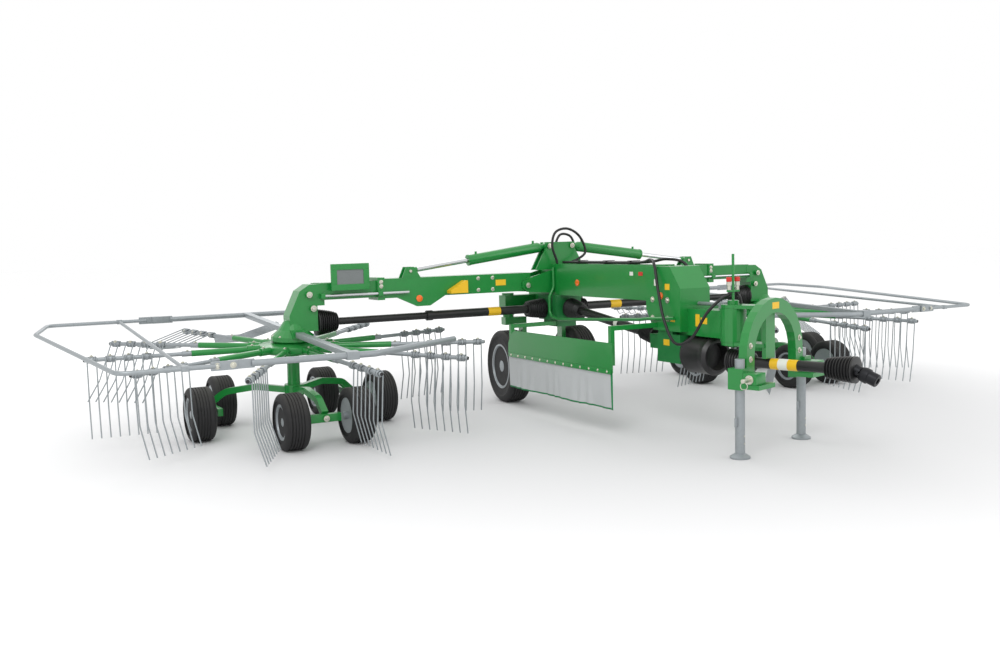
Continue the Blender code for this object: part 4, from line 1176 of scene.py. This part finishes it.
def lift_cylinders():
    for name, s in SIDES:
        eye_pin = Vector((s * MAST.x, MAST.y + LINE_Y, MAST.z))
        eye_rod = Vector((s * LUG.x, LUG.y + LINE_Y, LUG.z))
        along = (eye_rod - eye_pin).normalized()
        flat = Vector((0, 1, 0))
        length = (eye_rod - eye_pin).length
        barrel = [turned([(0.03, 0.022), (0.055, 0.028), (0.088, 0.043), (0.095, 0.045), (0.785, 0.045),
                          (0.786, 0.048), (0.80, 0.048), (0.802, 0.044), (0.80, 0.0205), (0.70, 0.0205)],
                         eye_pin, along, 40),
                  pin(eye_pin - flat * 0.0295, eye_pin + flat * 0.0295, 0.036),
                  pin(eye_pin + along * 0.14 + Vector((0, 0, 0.03)), eye_pin + along * 0.14 + Vector((0, 0, 0.068)),
                      0.010),
                  pin(eye_pin + along * 0.72 + Vector((0, 0, 0.03)), eye_pin + along * 0.72 + Vector((0, 0, 0.064)),
                      0.010)]
        made = piece("cylinder_barrel_" + name, merged(barrel), PAINT, "lift_barrel_" + name)
        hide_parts("lift_barrel_" + name)
        stem = [turned([(0.66, 0.018), (0.662, 0.020), (length - 0.03, 0.020)], eye_pin, along, 32)]
        made = piece("cylinder_rod_" + name, merged(stem), CHROME, "lift_rod_" + name)
        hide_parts("lift_rod_" + name)
        piece("cylinder_eye_" + name, merged([pin(eye_rod - flat * 0.018, eye_rod + flat * 0.018, 0.034),
                                              turned([(length - 0.075, 0.024), (length - 0.03, 0.024)],
                                                     eye_pin, along, 24)]), PAINT, "lift_rod_" + name)
        piece("cylinder_pin_" + name, pin(eye_rod - flat * 0.052, eye_rod + flat * 0.052, 0.0125), ZINC,
              "lift_rod_" + name)
        print("lift cylinder %s: %.2f m between its pins" % (name, length))


lift_cylinders()

# %% [markdown]
# ### Adjusting rods
# Two polished rods run along the outer part of each boom. The clamps ride on the sliding rotor head with the rods,
# and the guides stay on the boom, so the rods slide through them.

# %%
def adjusting_rods():
    for name, s in SIDES:
        for y, z in ((-0.118, 1.075), (0.118, 1.155)):
            start = (s * 1.50, LINE_Y + y, z)
            end = (s * 2.24, LINE_Y + y, z)
            tag = "%s_%s" % (name, "front" if y < 0 else "rear")
            piece("adjusting_rod_" + tag, pin(start, end, 0.011), CHROME, "rotor_head_" + name)
            low, high = span(s, 1.735, 1.775)
            piece("adjusting_rod_guide_" + tag, block((low, LINE_Y + y - 0.018, z - 0.02),
                                                      (high, LINE_Y + y + 0.018, z + 0.02)), PAINT, "boom_" + name)
            low, high = span(s, 2.225, 2.26)
            inner = 0.080
            ya, yb = sorted((LINE_Y + math.copysign(inner, y), LINE_Y + y * 1.13))
            piece("adjusting_rod_clamp_" + tag, block((low, ya, z - 0.02), (high, yb, z + 0.02)), PAINT,
                  "rotor_head_" + name)


adjusting_rods()

# %% [markdown]
# ### Parking legs and guard tube
# Without a tractor, the headstock stands on two galvanised legs: a round tube with a pressed foot and a handle
# plate. A thin painted tube runs down from the mast and forwards beside the beam. Both are round, so both are made
# smooth here.

# %%
LEG_SPREAD = 0.415
LEG_AHEAD = 0.30
TUBE_R = 0.0135


def legs():
    place = headstock_place()
    for name, t in SIDES:
        x, y = t * LEG_SPREAD, -LEG_AHEAD
        parts = [pin((x, y, 0.012), (x, y, 0.66), 0.0325, 40),
                 turned([(0, 0.064), (0.002, 0.0675), (0.012, 0.0675), (0.016, 0.062), (0.030, 0.040), (0.034, 0.0325)],
                        (x, y, 0), (0, 0, 1), 44),
                 block((x - 0.062, y - 0.005, 0.215), (x - 0.020, y + 0.005, 0.275), 0.002)]
        holes = [place @ facing((x, y - 0.032, 0.10 + 0.05 * k), (0, -1, 0)) for k in range(2)]
        body = "parking_leg_" + name
        made = piece(body + "_finished", put(merged(parts), place), GALV, body)
        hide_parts(body)
        repeated(body + "_rivets", pin((0, 0, 0), (0, 0, 0.003), 0.006, 16), holes, ZINC, body)


def guard_tube():
    x = -0.10 - TUBE_R * math.cos(math.pi / 8) - 0.0003
    route = [(x, -0.15, 1.23), (x, -0.15, 1.05), (x - 0.045, -0.15, 0.97), (x - 0.045, -0.15, 0.83),
             (x - 0.045, -0.19, 0.79), (x - 0.045, -0.30, 0.775), (x - 0.045, -1.49, 0.84),
             (x - 0.04, -1.56, 0.85), (x - 0.04, -1.89, 0.87)]
    made = piece("guard_tube_finished", pipe([(a, b + LINE_Y, c) for a, b, c in route], TUBE_R, 0.07, 20), PAINT,
                 "frame")
    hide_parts("guard_tube")


legs()
guard_tube()
print("legs %.2f m apart" % (2 * LEG_SPREAD))

# %% [markdown]
# ## Fittings on the rotor heads
# What tells a real machine from a model is its small parts, and a bolt shows where two parts meet. Ten places are
# set out round the gear cover, and those under the hoop arms or towards the boom are left out. A filler cap closes
# the gearbox, and nuts end the pins that cross the head.

# %%
def rotor_fittings():
    for name, s in SIDES:
        place = rotor_place(s)
        body = "rotor_head_" + name
        top = 0.0406
        ring = [place @ facing((0.155 * math.cos(a), 0.155 * math.sin(a), top + 0.052), (0, 0, 1))
                for a in (2 * math.pi * k / 10 for k in range(10))
                if abs(math.sin(a)) < 0.9 and s * math.cos(a) > -0.4]
        repeated("gear_cover_bolts_" + name, bolt(0.017, 0.011), ring, ZINC, body)
        cap = turned([(0, 0.066), (0.012, 0.060), (0.02, 0.030), (0.032, 0.026), (0.036, 0.036), (0.046, 0.036),
                      (0.050, 0.028)], (0, 0, top + 0.16), (0, 0, 1), 36)
        piece("gear_cap_" + name, put(cap, place), PAINT, body)
        heads = []
        for x, z in ((-0.12, 1.09), (-0.15, 0.98)):
            for t in (-1, 1):
                heads.append(facing((s * (ROTOR_X + x), LINE_Y + t * 0.115, z), (0, t, 0)))
        repeated("head_pin_nuts_" + name, bolt(0.026, 0.014), heads, ZINC, body)
        print("rotor head %s: %d cover bolts, %d nuts" % (name, len(ring), len(heads)))


rotor_fittings()

# %% [markdown]
# ### Fittings on the frame
# The beam carries bolts at its lugs and mast, round orange reflectors, clips for the hoses and small plates. The
# plates are blank: their colour is part of the looks, and their words are not.

# %%
def frame_fittings():
    heads = []
    for s in (1, -1):
        for t in (-1, 1):
            heads.append(facing((s * 0.36, LINE_Y + t * 0.1306, 1.08), (0, t, 0)))
        for y in (-1.62, -1.80):
            for z in (0.86, 1.00):
                heads.append(facing((s * 0.14, LINE_Y + y, z), (s, 0, 0)))
        heads.append(facing((s * 0.12, LINE_Y - 0.1106, 1.42), (0, -1, 0)))
    heads.append(facing((0, YAW.y, 1.0), (0, 0, 1)))
    repeated("frame_bolts", bolt(0.024, 0.013), heads, ZINC, "frame")
    labels = [(-0.1408, -1.80, 1.10, 0.055, 0.045, YELLOW), (-0.1408, -1.66, 1.13, 0.035, 0.05, PALE),
              (-0.1008, -1.42, 1.19, 0.055, 0.03, RED), (-0.1008, -1.30, 1.19, 0.045, 0.03, PALE),
              (-0.1408, -1.86, 0.86, 0.05, 0.035, YELLOW), (-0.0708, -2.06, 0.86, 0.045, 0.09, YELLOW),
              (-0.0708, -2.13, 0.86, 0.07, 0.045, YELLOW), (-0.1208, -1.76, 0.68, 0.07, 0.045, YELLOW)]
    for number, (x, y, z, wide, tall, look) in enumerate(labels, 1):
        piece("blank_label_%d" % number, block((x - 0.0006, LINE_Y + y - wide / 2, z - tall / 2),
                                               (x + 0.0005, LINE_Y + y + wide / 2, z + tall / 2), 0), look, "frame")
    for number, y in enumerate((-1.72, -0.52), 1):
        x = -0.14 if y < -1.5 else -0.10
        piece("side_reflector_%d" % number, turned([(0, 0.028), (0.006, 0.028), (0.008, 0.023)],
                                                   (x, LINE_Y + y, 1.03 if y < -1.5 else 1.10), (-1, 0, 0), 32),
              ORANGE, "frame")
    for y in (-0.45, -0.85, -1.2):
        piece("hose_clip_%d" % round(-100 * y), merged([
            block((-0.055, LINE_Y + y - 0.012, 1.2602), (0.055, LINE_Y + y + 0.012, 1.263), 0),
            block((-0.055, LINE_Y + y - 0.012, 1.286), (0.055, LINE_Y + y + 0.012, 1.291), 0.001)]),
            BLACK, "frame")
    print("frame: %d bolts, %d blank plates" % (len(heads), len(labels)))


frame_fittings()

# %% [markdown]
# ### Fittings on the booms
# Each boom has a reflector, a blank plate and the bolts of its end frame on its front face.

# %%
def boom_fittings():
    for name, s in SIDES:
        body = "boom_" + name
        y = LINE_Y - 0.095 - 0.0011
        piece("boom_reflector_" + name, turned([(0, 0.028), (0.006, 0.028), (0.008, 0.023)],
                                               (s * 1.40, LINE_Y - 0.096, 1.015), (0, -1, 0), 32), ORANGE, body)
        piece("boom_label_" + name, block((s * 0.62 - 0.05, y - 0.0006, 1.09), (s * 0.62 + 0.05, y + 0.0009, 1.14), 0),
              YELLOW, body)
        heads = [facing((s * x, y + 0.0008, z), (0, -1, 0)) for x in (0.70, 0.84) for z in (1.06, 1.16)]
        heads += [facing((s * 1.74, y - 0.0110, z), (0, -1, 0)) for z in (1.13, 1.165)]
        repeated("boom_bolts_" + name, bolt(0.018, 0.010), heads, ZINC, body)
        print("boom %s: %d bolts" % (name, len(heads)))


boom_fittings()

# %% [markdown]
# ### The sign board's frame
# The warning board is a plain plate in a folded frame, so four bars close round it without overlapping at the
# corners, where faces in one plane would flicker.

# %%
def board_frame():
    low, high = (Vector(c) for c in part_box("sign_board"))
    t, w = 0.006, 0.042
    bars = [block((low.x - t, low.y - t, high.z - w), (high.x + t, high.y - 0.001, high.z + t), 0.002),
            block((low.x - t, low.y - t, low.z - t), (high.x + t, high.y - 0.001, low.z + w), 0.002),
            block((low.x - t, low.y - t, low.z + w), (low.x + w, high.y - 0.001, high.z - w), 0.002),
            block((high.x - w, low.y - t, low.z + w), (high.x + t, high.y - 0.001, high.z - w), 0.002)]
    piece("sign_board_frame", merged(bars), PAINT, "rotor_head_right")
    print("sign board %.2f by %.2f m" % (high.x - low.x, high.z - low.z))


board_frame()

# %% [markdown]
# ### Fittings on the headstock
# The tractor's lower links take hold of two pins, each kept in by a ring. All of it is built on the straight
# headstock and turned with it.

# %%
def headstock_fittings():
    place = headstock_place()
    heads = []
    for name, t in SIDES[::-1]:
        x = t * (LEG_SPREAD + 0.05)
        pieces = [pin((x, -LEG_AHEAD - 0.10, 0.535), (x + t * 0.085, -LEG_AHEAD - 0.10, 0.535), 0.014),
                  pin((x, -LEG_AHEAD - 0.10, 0.535), (x + t * 0.006, -LEG_AHEAD - 0.10, 0.535), 0.030)]
        piece("hitch_pin_" + name, put(merged(pieces), place), ZINC, "headstock")
        a, b = span(t, LEG_SPREAD - 0.07, LEG_SPREAD + 0.05)
        piece("hitch_cheek_" + name,
              put(block((a, -LEG_AHEAD - 0.15, 0.5003), (b, -LEG_AHEAD - 0.0503, 0.575), 0.006), place),
              PAINT, "headstock")
        ring = [pipe([(x + t * 0.07, -LEG_AHEAD - 0.10, 0.535), (x + t * 0.07, -LEG_AHEAD - 0.13, 0.51),
                      (x + t * 0.07, -LEG_AHEAD - 0.12, 0.48), (x + t * 0.07, -LEG_AHEAD - 0.08, 0.48),
                      (x + t * 0.07, -LEG_AHEAD - 0.075, 0.51), (x + t * 0.07, -LEG_AHEAD - 0.095, 0.53)],
                     0.003, 0.02, 8)]
        piece("hitch_pin_ring_" + name, put(merged(ring), place), ZINC, "headstock")
        for z in (0.65, 0.74):
            heads.append(place @ facing((t * (LEG_SPREAD - 0.085), -LEG_AHEAD - 0.03, z), (0, -1, 0)))
    repeated("headstock_bolts", bolt(0.022, 0.012), heads, ZINC, "headstock")
    piece("headstock_label", put(block((-0.045, -LEG_AHEAD - 0.0306, 0.965), (0.045, -LEG_AHEAD - 0.0297, 1.01), 0),
                                 place), YELLOW, "headstock")
    print("headstock: %d bolts" % len(heads))


headstock_fittings()

# %% [markdown]
# ### Hose couplings
# Each supply hose ends in a plated coupling under a red cap, on the post above the yaw pin.

# %%
def hose_couplings():
    for number, x in enumerate((-0.038, 0.038), 1):
        at = Vector((x, YAW.y, 1.087))
        piece("hose_coupling_%d" % number, merged([
            pin(at, at + Vector((0, 0, 0.035)), 0.013),
            pin(at + Vector((0, 0, 0.03)), at + Vector((0, 0, 0.06)), 0.017)]),
            ZINC, "frame")
        piece("hose_cap_%d" % number, pin(at + Vector((0, 0, 0.0601)), at + Vector((0, 0, 0.092)), 0.019), RED, "frame")


hose_couplings()
